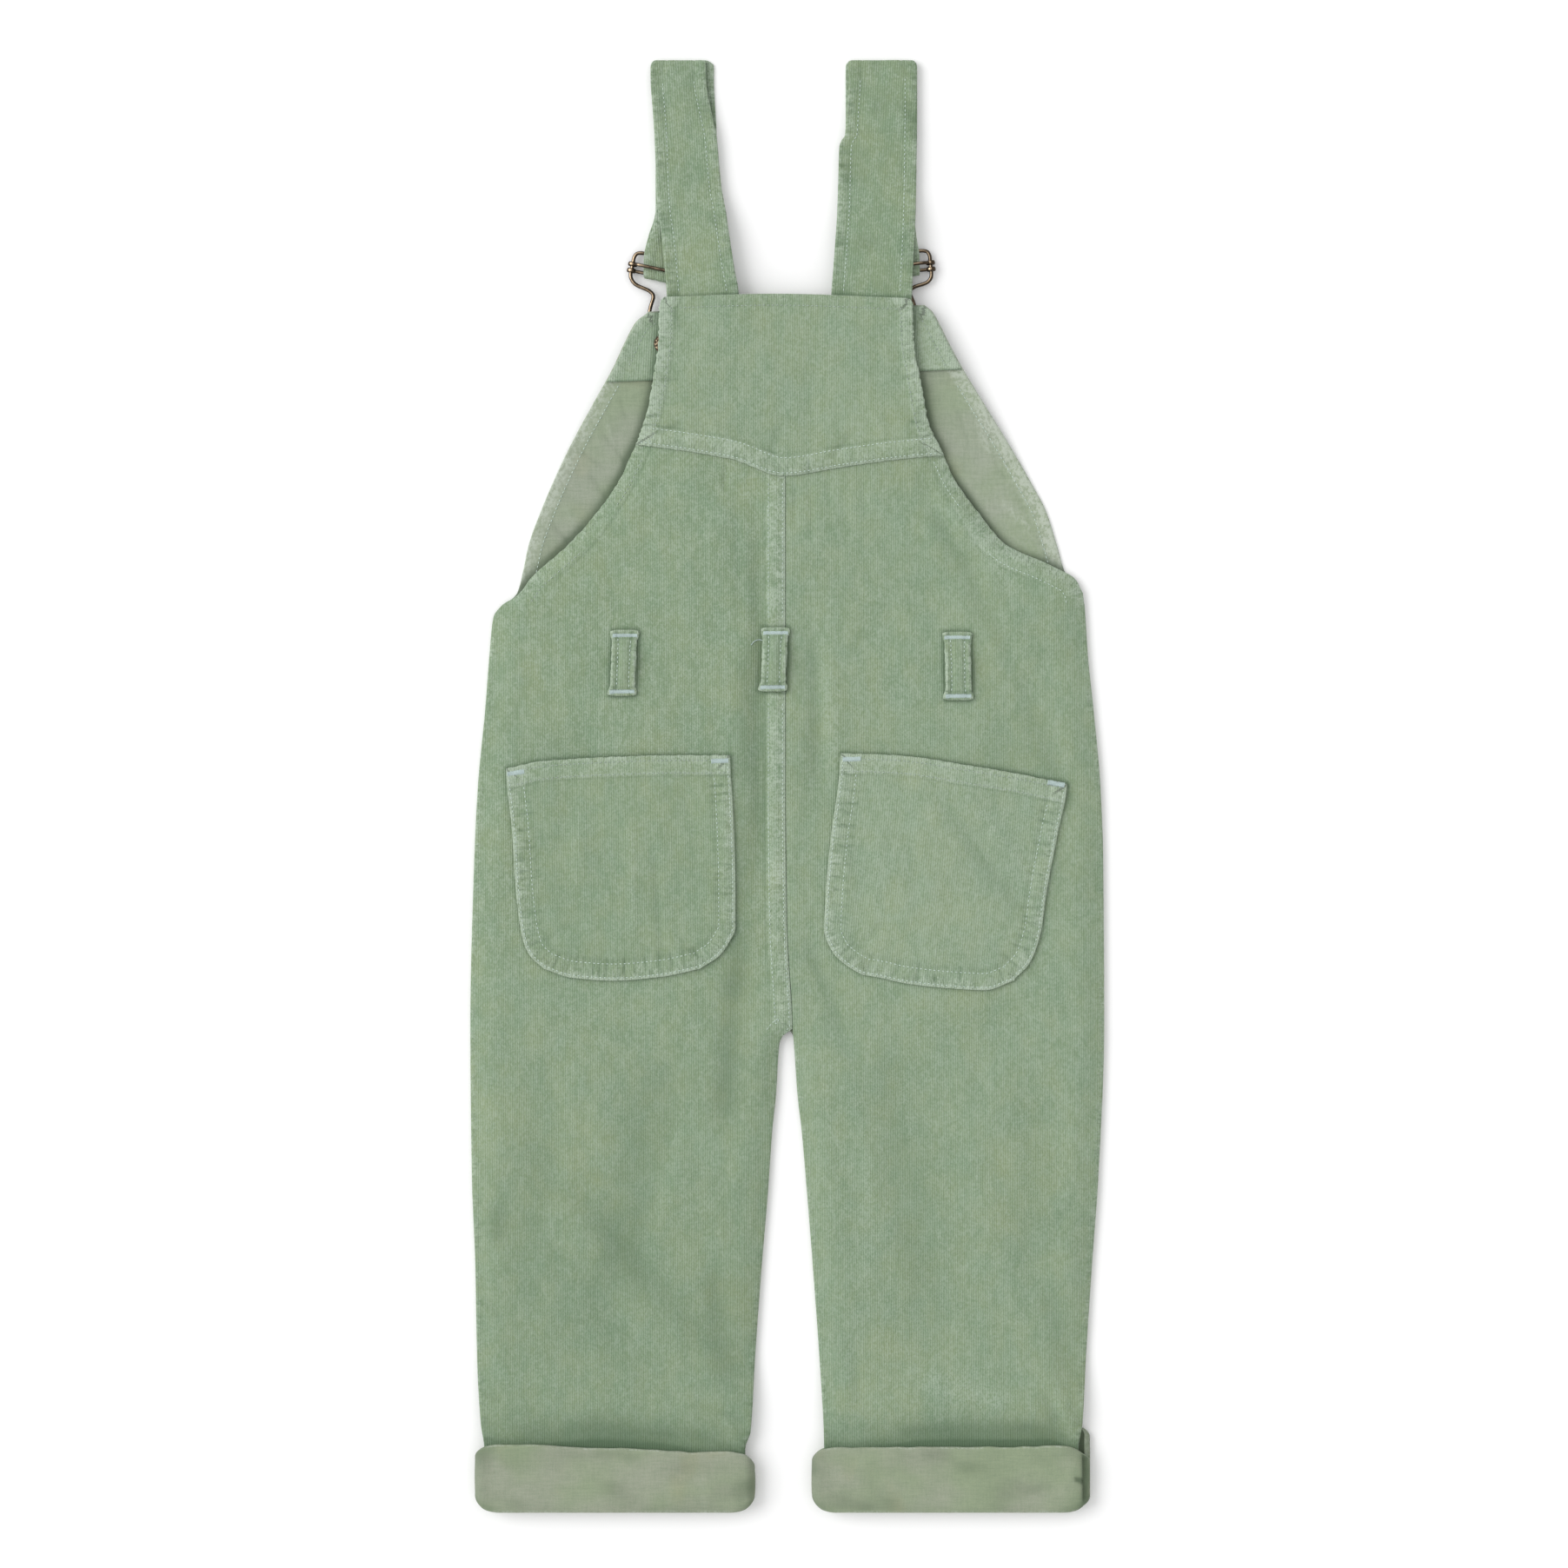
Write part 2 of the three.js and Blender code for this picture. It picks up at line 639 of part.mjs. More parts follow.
// A rolled cuff: a flattened ring round the end of the leg, with round ends and rounded rims
function cuff({ left, right, topLeft, topRight, skew, frontPeak }) {
  const middle = cuffHeight / 2;
  const straight = right - left - cuffHeight;
  const centre = (left + right) / 2;
  const stations = [];
  const across = 9;
  const around = 6;
  for (const facing of [1, -1]) {
    for (let i = 0; i < across; i += 1) {
      const x = centre - (facing * straight) / 2 + (facing * straight * i) / across;
      stations.push({ x, z: middle - facing * middle, nx: 0, nz: -facing });
    }
    for (let i = 0; i < around; i += 1) {
      const angle = -Math.PI / 2 + (Math.PI * i) / around;
      const nx = facing * Math.cos(angle);
      const nz = facing * Math.sin(angle);
      const x = centre + (facing * straight) / 2 + nx * middle;
      stations.push({ x, z: middle + nz * middle, nx, nz });
    }
  }
  const rim = cuffWall / 2;
  const profile = [
    { inset: 0, low: rim }, { inset: 0.3 * rim, low: 0.35 * rim }, { inset: rim, low: 0 },
    { inset: 1.7 * rim, low: 0.35 * rim }, { inset: 2 * rim, low: rim },
    { inset: 2 * rim, high: rim }, { inset: 1.5 * rim, high: 0 }, { inset: 0.6 * rim, high: 0 },
    { inset: 0, high: 0.7 * rim },
  ];
  const positions = [];
  for (const { x, z, nx, nz } of stations) {
    const past = clamp((Math.abs(x - centre) - (right - left) / 2 + cuffCorner) / cuffCorner, 0, 1);
    const rise = cuffRise * (1 - Math.sqrt(1 - 0.98 * past * past));
    const atRight = smooth(right - 8, right, x) * (1 - z / cuffHeight);
    const peak = z < cuffWall ? frontPeak * smooth(right - 14, right - 3, x) : 0;
    const top = mix(topLeft, topRight, (x - left) / (right - left)) + peak - 0.3 * rise;
    for (const { inset, low, high } of profile) {
      const y = low === undefined ? top - high : cuffBottom + low + rise;
      positions.push(x - nx * inset + skew * atRight, y, z - nz * inset);
    }
  }
  const indices = [];
  const count = profile.length;
  for (let i = 0; i < stations.length; i += 1) {
    const next = (i + 1) % stations.length;
    for (let j = 0; j < count; j += 1) {
      const k = (j + 1) % count;
      indices.push(i * count + j, next * count + k, i * count + k);
      indices.push(i * count + j, next * count + j, next * count + k);
    }
  }
  return indexedGeometry(positions, indices);
}

// A strap: one ribbon through its sections, each a line across with a tilt in the plan
function strap(side) {
  const { back, front, loop, inner } = strapSections[side];
  const buckle = buckles[side];
  const tilt = Math.tan(radians(buckle.turn));
  const steps = 5;
  const foldRadius = (back.at(-1).z - front[0].z) / 2;
  const foldY = strapTop - clothWall / 2 - foldRadius;
  const arc = (radius, y, z, from, shape) => {
    const sections = [];
    for (let i = 0; i <= steps; i += 1) {
      const share = i / steps;
      const angle = mix(from, -from, share);
      const reach = shape.way * radius * Math.cos(angle);
      sections.push({ y: y + reach, z: z + radius * Math.sin(angle), ...shape.at(share) });
    }
    return sections;
  };
  const topFold = arc(foldRadius, foldY, front[0].z + foldRadius, Math.PI / 2, {
    way: 1,
    at: (share) => ({
      left: mix(back.at(-1).left, front[0].left, share),
      right: mix(back.at(-1).right, front[0].right, share),
      tilt: 0,
    }),
  });
  const lowerLoop = arc(loopRadius, buckle.y, wireLevel, -Math.PI / 2, {
    way: -1,
    at: () => ({ ...loop, tilt }),
  });
  const sections = [...back, ...topFold, ...front, ...lowerLoop, ...inner];
  return ribbon(sections, buckle.x);
}

function ribbon(sections, pivotX) {
  const columns = 4;
  const positions = [];
  sections.forEach((section, i) => {
    const before = sections[Math.max(i - 1, 0)];
    const after = sections[Math.min(i + 1, sections.length - 1)];
    const length = Math.hypot(after.y - before.y, after.z - before.z);
    const normalY = -(after.z - before.z) / length;
    const normalZ = (after.y - before.y) / length;
    for (const face of [-1, 1]) {
      for (let j = 0; j < columns; j += 1) {
        const x = mix(section.left, section.right, j / (columns - 1));
        const reach = (face * clothWall) / 2;
        const y = section.y + section.tilt * (x - pivotX) + reach * normalY;
        positions.push(x, y, section.z + reach * normalZ);
      }
    }
  });
  const at = (i, face, j) => (i * 2 + face) * columns + j;
  const indices = [];
  const quad = (a, b, c, d) => indices.push(a, b, c, a, c, d);
  const last = sections.length - 1;
  for (let i = 0; i < last; i += 1) {
    for (let j = 0; j < columns - 1; j += 1) {
      quad(at(i, 0, j), at(i + 1, 0, j), at(i + 1, 0, j + 1), at(i, 0, j + 1));
      quad(at(i, 1, j), at(i, 1, j + 1), at(i + 1, 1, j + 1), at(i + 1, 1, j));
    }
    quad(at(i, 0, 0), at(i, 1, 0), at(i + 1, 1, 0), at(i + 1, 0, 0));
    quad(at(i, 0, columns - 1), at(i + 1, 0, columns - 1), at(i + 1, 1, columns - 1), at(i, 1, columns - 1));
  }
  for (let j = 0; j < columns - 1; j += 1) {
    quad(at(0, 0, j), at(0, 0, j + 1), at(0, 1, j + 1), at(0, 1, j));
    quad(at(last, 0, j), at(last, 1, j), at(last, 1, j + 1), at(last, 0, j + 1));
  }
  return indexedGeometry(positions, indices);
}

// Places on a buckle: across and along it, turned about the middle of its lower bar
function onBuckle(buckle, across, along) {
  const turn = radians(buckle.turn);
  const x = buckle.x + across * Math.cos(turn) - along * Math.sin(turn);
  const y = buckle.y + across * Math.sin(turn) + along * Math.cos(turn);
  return { x, y };
}

// A round wire through points on a buckle, with heights
function wire(buckle, points, radius, steps) {
  const curve = new THREE.CatmullRomCurve3(points.map(({ across, along, z }) => {
    const at = onBuckle(buckle, across, along);
    return new THREE.Vector3(at.x, at.y, z);
  }), false, 'centripetal');
  const section = new THREE.Shape();
  section.absarc(0, 0, radius, 0, 2 * Math.PI);
  const options = { steps, curveSegments: wireSides / 2, bevelEnabled: false, extrudePath: curve };
  return new THREE.ExtrudeGeometry(section, options);
}

// The hook: a bail between the strap's layers, two sides, a neck and a loop round the shank
function hook(buckle) {
  const corner = 3;
  const loopLevel = capHeight + seamGap + wireRadius;
  const side = [
    { across: 0.2, along: bailReach, z: wireLevel },
    { across: 9, along: bailReach, z: wireLevel },
    { across: buckleHalf - corner, along: bailReach, z: wireLevel },
    { across: buckleHalf - 0.3 * corner, along: bailReach - 0.3 * corner, z: wireLevel },
    { across: buckleHalf, along: bailReach - corner, z: wireLevel },
    { across: buckleHalf, along: 4, z: wireLevel },
    { across: buckleHalf, along: 1, z: wireLevel },
    { across: buckleHalf, along: -2, z: wireLevel },
    { across: buckleHalf - 0.4, along: -4.2, z: wireLevel },
    { across: buckleHalf - 2.6, along: -6.6, z: wireLevel },
    { across: 8, along: -8.6, z: wireLevel },
    { across: 6, along: -10.5, z: wireLevel },
    { across: 7.4, along: -17, z: mix(wireLevel, loopLevel, 0.6) },
    { across: 8.2, along: -23, z: loopLevel },
    { across: 6, along: -29, z: loopLevel },
    { across: 3.6, along: shankReach + 1, z: loopLevel },
    { across: 2.8, along: shankReach - 2.4, z: loopLevel },
  ];
  const lean = (point) => {
    const share = clamp((point.along + 2) / (shankReach + 2), 0, 1);
    return { ...point, across: point.across + buckle.lean * share };
  };
  const mirrored = side.map((point) => ({ ...point, across: -point.across })).reverse();
  const end = { across: 0, along: shankReach - 3.7, z: loopLevel };
  return wire(buckle, [...side, end, ...mirrored].map(lean), wireRadius, 60);
}

// A crossbar: a thin bar with a ring at each end round the hook's sides
function crossbar(buckle, along, arched) {
  const ringMiddle = (wireRadius + seamGap + ringOuter) / 2;
  const inner = wireRadius + seamGap;
  const profile = [
    [inner, -ringLength / 2], [ringOuter, -ringLength / 2], [ringOuter, ringLength / 2],
    [inner, ringLength / 2], [inner, -ringLength / 2],
  ].map(([x, y]) => new THREE.Vector2(x, y));
  const rings = [-1, 1].map((side) => {
    const ring = new THREE.LatheGeometry(profile, 14);
    const at = onBuckle(buckle, side * buckleHalf, along);
    ring.rotateZ(radians(buckle.turn));
    ring.translate(at.x, at.y, wireLevel);
    return toSolid(ring);
  });
  const overStrap = wireLevel + loopRadius + clothWall / 2 + seamGap + barRadius;
  const rise = arched ? overStrap - wireLevel : 0;
  const start = arched ? 0.5 * ringMiddle : ringMiddle;
  const half = [
    { across: buckleHalf - start, along, z: wireLevel + (arched ? 0.85 * ringMiddle : 0) },
    { across: buckleHalf - 2.3, along, z: wireLevel + 0.8 * rise },
    { across: buckleHalf - 3.4, along, z: wireLevel + rise },
    { across: 6, along, z: wireLevel + rise },
  ];
  const mirrored = half.map((point) => ({ ...point, across: -point.across })).reverse();
  const bar = toSolid(wire(buckle, [...half, ...mirrored], barRadius, 20));
  return fromSolid(bar.add(rings[0]).add(rings[1]));
}

function button(buckle) {
  const at = onBuckle(buckle, buckle.lean, shankReach);
  const plate = frontUnder(at.y) + clothWall + seamGap + facingWall + seamGap;
  const outline = [
    [0, 0], [0.86 * capRadius, 0], [0.97 * capRadius, 0.2 * capHeight], [capRadius, 0.5 * capHeight],
    [0.93 * capRadius, capHeight], [shankRadius, capHeight], [shankRadius, plate],
    [plateRadius, plate], [plateRadius, plate + 0.5 * plateHeight],
    [0.8 * plateRadius, plate + plateHeight], [0, plate + plateHeight],
  ].map(([x, y]) => new THREE.Vector2(x, y));
  const geometry = new THREE.LatheGeometry(outline, 24);
  geometry.rotateX(Math.PI / 2);
  geometry.translate(at.x, at.y, 0);
  return geometry;
}

// Colours: the corduroy, its paler wrong side and antique brass
const corduroy = { color: 0x90a88c, roughness: 0.95, metalness: 0 };
const wrongSide = { color: 0x9ba58f, roughness: 0.95, metalness: 0 };
const brass = { color: 0x7d6441, roughness: 0.45, metalness: 1 };

const overalls = new THREE.Group();

function add(name, geometry, finish) {
  const mesh = new THREE.Mesh(geometry, new THREE.MeshStandardMaterial(finish));
  mesh.name = name;
  overalls.add(mesh);
}

for (const side of ['left', 'right']) {
  add(`front_${side}`, frontLeg(side), corduroy);
  add(`back_${side}`, backPanel(side), corduroy);
  add(`pocket_${side}`, pocket(side), corduroy);
  add(`strap_${side}`, strap(side), corduroy);
  add(`hook_${side}`, hook(buckles[side]), brass);
  add(`bar_lower_${side}`, crossbar(buckles[side], 0, false), brass);
  add(`bar_upper_${side}`, crossbar(buckles[side], ringPitch, true), brass);
  add(`button_${side}`, button(buckles[side]), brass);
  add(`cuff_${side}`, cuff(cuffs[side]), wrongSide);
}
add('front_bib', frontBib(), wrongSide);
add('front_facing', frontFacing(), corduroy);
add('back_yoke', backYoke(), corduroy);
for (const loop of beltLoops) add(`belt_loop_${loop.name}`, beltLoop(loop), corduroy);

export default overalls;
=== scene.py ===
import math

import bpy
import numpy as np
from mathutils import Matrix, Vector
from mathutils.bvhtree import BVHTree
from mathutils.kdtree import KDTree


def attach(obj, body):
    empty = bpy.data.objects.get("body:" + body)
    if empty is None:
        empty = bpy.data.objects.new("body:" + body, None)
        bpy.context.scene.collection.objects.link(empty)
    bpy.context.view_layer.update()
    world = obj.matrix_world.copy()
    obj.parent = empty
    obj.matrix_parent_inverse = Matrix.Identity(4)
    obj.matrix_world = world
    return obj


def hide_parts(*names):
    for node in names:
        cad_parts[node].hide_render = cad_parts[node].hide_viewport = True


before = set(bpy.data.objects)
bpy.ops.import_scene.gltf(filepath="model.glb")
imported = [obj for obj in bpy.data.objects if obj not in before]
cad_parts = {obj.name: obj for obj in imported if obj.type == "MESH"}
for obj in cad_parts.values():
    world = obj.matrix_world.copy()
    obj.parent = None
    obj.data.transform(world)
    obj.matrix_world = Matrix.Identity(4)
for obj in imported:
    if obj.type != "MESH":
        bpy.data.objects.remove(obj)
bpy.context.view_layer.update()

print("frame loaded:", len(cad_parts), "solids")

# Lengths below are millimetres, as the solids were measured, and become metres when a mesh is made
mm = 0.001

cloth = {"wall": 1.4, "facingWall": 1.2, "gap": 0.3, "lip": 0.7}


def table(columns, rows):
    names = columns.split()
    return [dict(zip(names, row)) for row in rows]


def mix(a, b, share):
    return a + (b - a) * share


def smooth(start, end, value):
    t = np.clip((value - start) / (end - start), 0, 1)
    return t * t * (3 - 2 * t)


# A smooth curve through two columns of a table, which never swings past its rows
def through(rows, at, value):
    points = sorted((row[at], row[value]) for row in rows)
    xs = np.array([p[0] for p in points], float)
    ys = np.array([p[1] for p in points], float)
    slopes = np.diff(ys) / np.diff(xs)
    turns = np.concatenate([slopes[:1], np.zeros(len(xs) - 2), slopes[-1:]])
    for i in range(1, len(xs) - 1):
        a, b = slopes[i - 1], slopes[i]
        turns[i] = 0 if a * b <= 0 else 2 * a * b / (a + b)

    def curve(x):
        x = np.clip(x, xs[0], xs[-1])
        i = np.clip(np.searchsorted(xs, x) - 1, 0, len(xs) - 2)
        span = xs[i + 1] - xs[i]
        t = (x - xs[i]) / span
        start = (1 + 2 * t) * (1 - t) ** 2 * ys[i] + t * (1 - t) ** 2 * span * turns[i]
        end = t * t * (3 - 2 * t) * ys[i + 1] + t * t * (t - 1) * span * turns[i + 1]
        return start + end

    return curve


# Seeded soft noise from -1 to 1, with cells of the given size, which comes back after so many cells
noiseCells = 97


def uneven(x, y, sizeX, sizeY, seed):
    lattice = np.random.default_rng(seed).uniform(-1, 1, (noiseCells, noiseCells))
    u = np.asarray(x, float) / sizeX + 500.37
    v = np.asarray(y, float) / sizeY + 500.71
    i, j = np.floor(u).astype(int), np.floor(v).astype(int)
    s, t = smooth(0, 1, u - i), smooth(0, 1, v - j)
    columns, rows = (i % noiseCells, (i + 1) % noiseCells), (j % noiseCells, (j + 1) % noiseCells)
    near, far = (mix(lattice[columns[0], row], lattice[columns[1], row], s) for row in rows)
    return mix(near, far, t)


# Ripples along a seam, which lie across it
def ripples(along, pitch, seed):
    return uneven(along, 0, pitch, 1, seed)


# Outlines of the pieces, as in the solids

backOutline = table("y left right", [
    (250, -66.9, 65.7), (234, -67.3, 66.1), (213, -70, 69.5), (190, -75, 74), (175, -81, 81),
    (160, -88, 88), (144, -99, 99.5), (126, -115, 115), (116, -126.5, 137), (108, -135, 151),
    (100, -141, 155), (94, -150, 155.7), (88, -154, 156.2), (68, -156, 157.5),
    (39, -158.3, 160.5), (0, -162, 164), (-40, -164, 165.5), (-126, -166, 166),
    (-204, -165.2, 163), (-251, -163.4, 159.6), (-300, -162.4, 156.4), (-334, -160.3, 154.4),
    (-347, -158.5, 152.4), (-370, -158.5, 152.4),
])
backCentre = table("y left right", [
    (190, -1, -0.7), (0, -1, -0.7), (-71, -0.3, 0), (-94, 0.8, 1.1), (-115, 2.2, 2.5),
    (-127, 2.6, 2.9), (-131, -2.5, 3.2), (-135, -4.2, 3.6), (-162, -6, 5.5), (-181, -8, 7.7),
    (-210, -10, 10.2), (-258, -14, 14), (-300, -17, 17), (-338, -19.3, 19.2),
    (-347, -22.1, 19.4), (-370, -22.1, 19.4),
])
frontCentre = table("y left right", [(90, -0.15, 0.15), (-127, -0.15, 0.15)]) + [
    row for row in backCentre if row["y"] <= -131
]
bibOutline = table("y left right", [
    (252, -72, 71), (248, -73, 76), (243, -79, 79), (235, -83.6, 83), (218, -91.6, 92),
    (200, -101.6, 103), (180, -112.6, 115.4), (160, -122.2, 127), (144, -129, 135.5),
    (126, -135.5, 141.3), (112, -138.5, 145.5), (101, -141.5, 154), (92, -151, 155.8),
    (84, -154.4, 156.4),
])
bibTopEdge = table("share y", [(0, 248), (0.5, 251), (1, 251.5)])
yokeTopEdge = table("share y", [(0, 255.4), (0.45, 257), (1, 254.8)])
facingLowerEdge = table("share y", [(0, 211), (1, 217.5)])
yokeLowerEdge = table("share y", [
    (0, 178.5), (0.17, 175), (0.33, 170.5), (0.49, 162), (0.66, 166.3), (0.82, 170), (1, 173),
])
pocketSides = {
    "left": table("y left right", [
        (16, -147, -30), (9, -147, -29.6), (-23, -144, -27.8), (-54, -142, -27),
        (-74, -139.6, -27), (-83, -137.5, -31), (-89, -134.5, -35.5), (-96, -127, -46),
    ]),
    "right": table("y left right", [
        (17, 28, 146.3), (1, 26.7, 146.3), (-25, 23, 141.5), (-55, 20.2, 135.8),
        (-75, 19.3, 133), (-87, 23.7, 129.6), (-94, 31, 126), (-101, 43, 119),
    ]),
}
pocketEdges = {
    "left": table("share top bottom", [
        (0, 9, -96), (0.17, 13, -100.5), (0.45, 15, -102), (0.76, 16, -100), (1, 16, -96),
    ]),
    "right": table("share top bottom", [
        (0, 17, -99), (0.25, 16, -103.5), (0.55, 11, -106), (0.8, 6, -107), (1, 1, -102),
    ]),
}

backLeftSide = through(backOutline, "y", "left")
backRightSide = through(backOutline, "y", "right")
seamLeft = through(backCentre, "y", "left")
seamRight = through(backCentre, "y", "right")

# Heights: the front lies on the surface, and the back rises over it in a soft crown

lifts = {"leg": 3.5, "button": 5.1, "sideRound": 16}
legEnd = -370
crown = through(table("y height", [
    (256, 1.5), (215, 1.5), (180, 2.4), (120, 3), (-280, 3), (-320, 2.2), (-343, 0.2), (-370, 0.2),
]), "y", "height")

# Soft folds of the back by the ends of each line; a trough has a negative height
foldColumns = "x0 y0 x1 y1 width height"
folds = table(foldColumns, [
    (-15.5, 140, -14, -60, 4.5, -1.5), (14, 78, 16, -4, 4.5, -1.3),
    (-120, 30, -104, -20, 16, -0.7), (120, 34, 108, -30, 17, -0.8),
    (-60, -125, -96, -285, 18, -0.9), (52, -122, 74, -290, 18, -0.9),
    (-130, -140, -128, -260, 14, -0.6), (132, -150, 126, -270, 14, -0.6),
    (-40, -250, -30, -318, 7, -0.8), (138, -262, 146, -316, 7, -0.8),
])

# Finer creases: beside the seam, under the yoke, at the armholes and above the cuffs
creases = table(foldColumns, [
    (-26.5, 152, -25, 76, 2.2, -0.35), (-32, 168, -33, 155, 1.2, -0.5), (-32, 66, -31, -58, 5, 0.5),
    (-36, 158, -36, 96, 5, 0.25), (30, 158, 31, 120, 3, -0.3), (12, 160, 13, 128, 1.6, -0.35),
    (21, 161, 22, 142, 1.4, -0.3), (39, 163, 41, 140, 1.8, -0.3), (3.5, 158, 4, 136, 1.2, -0.35),
    (22, 84, 27, -8, 5, 0.45), (28, -18, 33, -78, 5, 0.45), (-22, 60, -21, -30, 3, 0.25),
    (8, -74, 34, -152, 6, -0.5), (-27, -84, -33, -178, 7, -0.6), (-12, -120, -14, -172, 4, 0.4),
    (66, 166, 86, 126, 6, -0.4), (86, 126, 118, 64, 7, -0.45), (118, 64, 150, -18, 7, -0.4),
    (80, 162, 98, 124, 6, 0.35), (98, 124, 130, 62, 7, 0.35),
    (-95, -345, -58, -341.5, 3.2, -1.0), (-52, -339, -26, -347, 2.6, -0.8),
    (-140, -338, -112, -342, 3, -0.5), (-33, -333, -24, -341, 1.6, 0.7),
    (-35, -328, -22, -332, 1.5, -0.6), (-30, -318, -20, -322, 1.4, 0.4),
    (60, -338, 96, -341, 3.5, -0.6), (120, -337, 147, -342, 3, -1.1),
    (134, -318, 142, -334, 4, -0.8), (143, -322, 151, -336, 3, 0.6),
    (24, -325, 30, -340, 3, 0.5), (33, -290, 38, -325, 3.5, -0.4),
    (-158, -268, -148, -280, 2.5, -0.5), (-158, -318, -149, -322, 2, -0.5),
    (152, -215, 140, -232, 3, -0.4), (-20, -205, -30, -240, 3.5, -0.4),
    (-110, -150, -118, -215, 7, 0.4), (-50, -170, -72, -250, 6, 0.4),
    (90, -140, 100, -220, 8, 0.4), (40, -180, 62, -270, 6, 0.35),
    (-140, 60, -120, 45, 5, -0.3), (140, 66, 118, 50, 6, -0.3),
    (-139, -208, -45, -317, 9, 0.3), (-126, -196, -34, -300, 8, -0.25), (12, -100, 42, -184, 6, 0.4),
    (42, -184, 43, -268, 6, 0.4), (66, -310, 122, -326, 8, 0.4),
])

# Painted shade along the folds, or painted light where the number is negative
paintedShadeAndLight = table(foldColumns, [
    (-25, 158, -26, 90, 4, 0.25), (-23.5, 76, -22.5, -8, 4.2, 0.6), (-22.5, -6, -23.5, -72, 4.8, 0.6),
    (-23.5, -70, -29, -112, 7.5, 0.65), (-29, -104, -33, -182, 8, 0.45), (-33, 10, -31, -62, 4.5, -0.35),
    (6, 72, 8, -60, 4, 0.25), (8, -76, 34, -152, 5, 0.4), (16, 82, 24, 4, 6, -0.25),
    (24, -20, 29, -78, 6, -0.3), (67, 168, 86, 126, 6, 0.25), (86, 126, 118, 64, 7, 0.25),
    (118, 64, 150, -18, 7, 0.2), (-152, -218, -152, -240, 5, 0.45), (59, -148, 68, -194, 4, -0.3),
    (-139, -208, -45, -317, 9, -0.1), (-128, -196, -36, -302, 8, 0.12), (12, -100, 42, -184, 6, -0.2),
    (42, -184, 43, -268, 6, -0.2), (66, -308, 122, -324, 9, -0.25), (-34, 164, -34, 152, 1.4, 0.4),
    (22, 161, 22, 145, 1.2, 0.3), (4, 158, 4, 144, 1.1, 0.4), (-158, 60, -150, -20, 8, 0.2),
    (-128, 96, -60, 118, 10, -0.15), (40, 120, 60, 30, 14, -0.15),
    (74, 152, 93, 134, 4, -0.3), (93, 134, 124, 98, 5, -0.35), (68, 146, 100, 108, 5, 0.2),
])


def foldHeight(rows, x, y):
    total = np.zeros(np.shape(x))
    for fold in rows:
        dx, dy = fold["x1"] - fold["x0"], fold["y1"] - fold["y0"]
        length = math.hypot(dx, dy)
        along = ((x - fold["x0"]) * dx + (y - fold["y0"]) * dy) / length ** 2
        across = ((x - fold["x0"]) * dy - (y - fold["y0"]) * dx) / length
        ends = smooth(-0.15, 0.25, along) * smooth(1.15, 0.75, along)
        total += fold["height"] * ends * np.exp(-(across / fold["width"]) ** 2)
    return total


def frontUnder(y):
    return lifts["leg"] * smooth(-292, -331, y) + lifts["button"] * smooth(150, 225, y)


def backUnder(x, y):
    outer = np.minimum(x - backLeftSide(y), backRightSide(y) - x)
    inner = np.where(x < seamLeft(y), seamLeft(y) - x, x - seamRight(y))

    def rounded(distance):
        return np.sin(math.pi / 2 * np.clip(distance / lifts["sideRound"], 0, 1))

    atSides = mix(rounded(outer), 1, smooth(180, 215, y))
    atLegs = mix(1, rounded(inner), smooth(-105, -150, y))
    rise = crown(y) * atSides * atLegs + foldHeight(folds, x, y) + foldHeight(creases, x, y)
    rise += 0.24 * uneven(x, y, 26, 60, 4) + 0.15 * uneven(x, y, 8, 17, 5)
    return frontUnder(y) + cloth["wall"] + cloth["gap"] + np.maximum(rise, 0)


def backOver(x, y):
    return backUnder(x, y) + cloth["wall"]


# Grid lines across a panel: a few that follow each edge, and even ones between them
def stops(length, spacing, lines=(0, 0.2, 0.7, 1.5)):
    count = max(int(round((length - 2 * lines[-1]) / spacing)), 2)
    t = np.linspace(0, 1, count + 1)
    share = np.concatenate([np.zeros(len(lines) - 1), t, np.ones(len(lines) - 1)])
    shift = np.concatenate([lines[:-1], lines[-1] * (1 - 2 * t), -np.array(lines[:-1])[::-1]])
    return share, shift


# A straight edge at one height, whatever the share across
def straightEdge(height):
    return lambda share: np.full(np.shape(share), float(height))


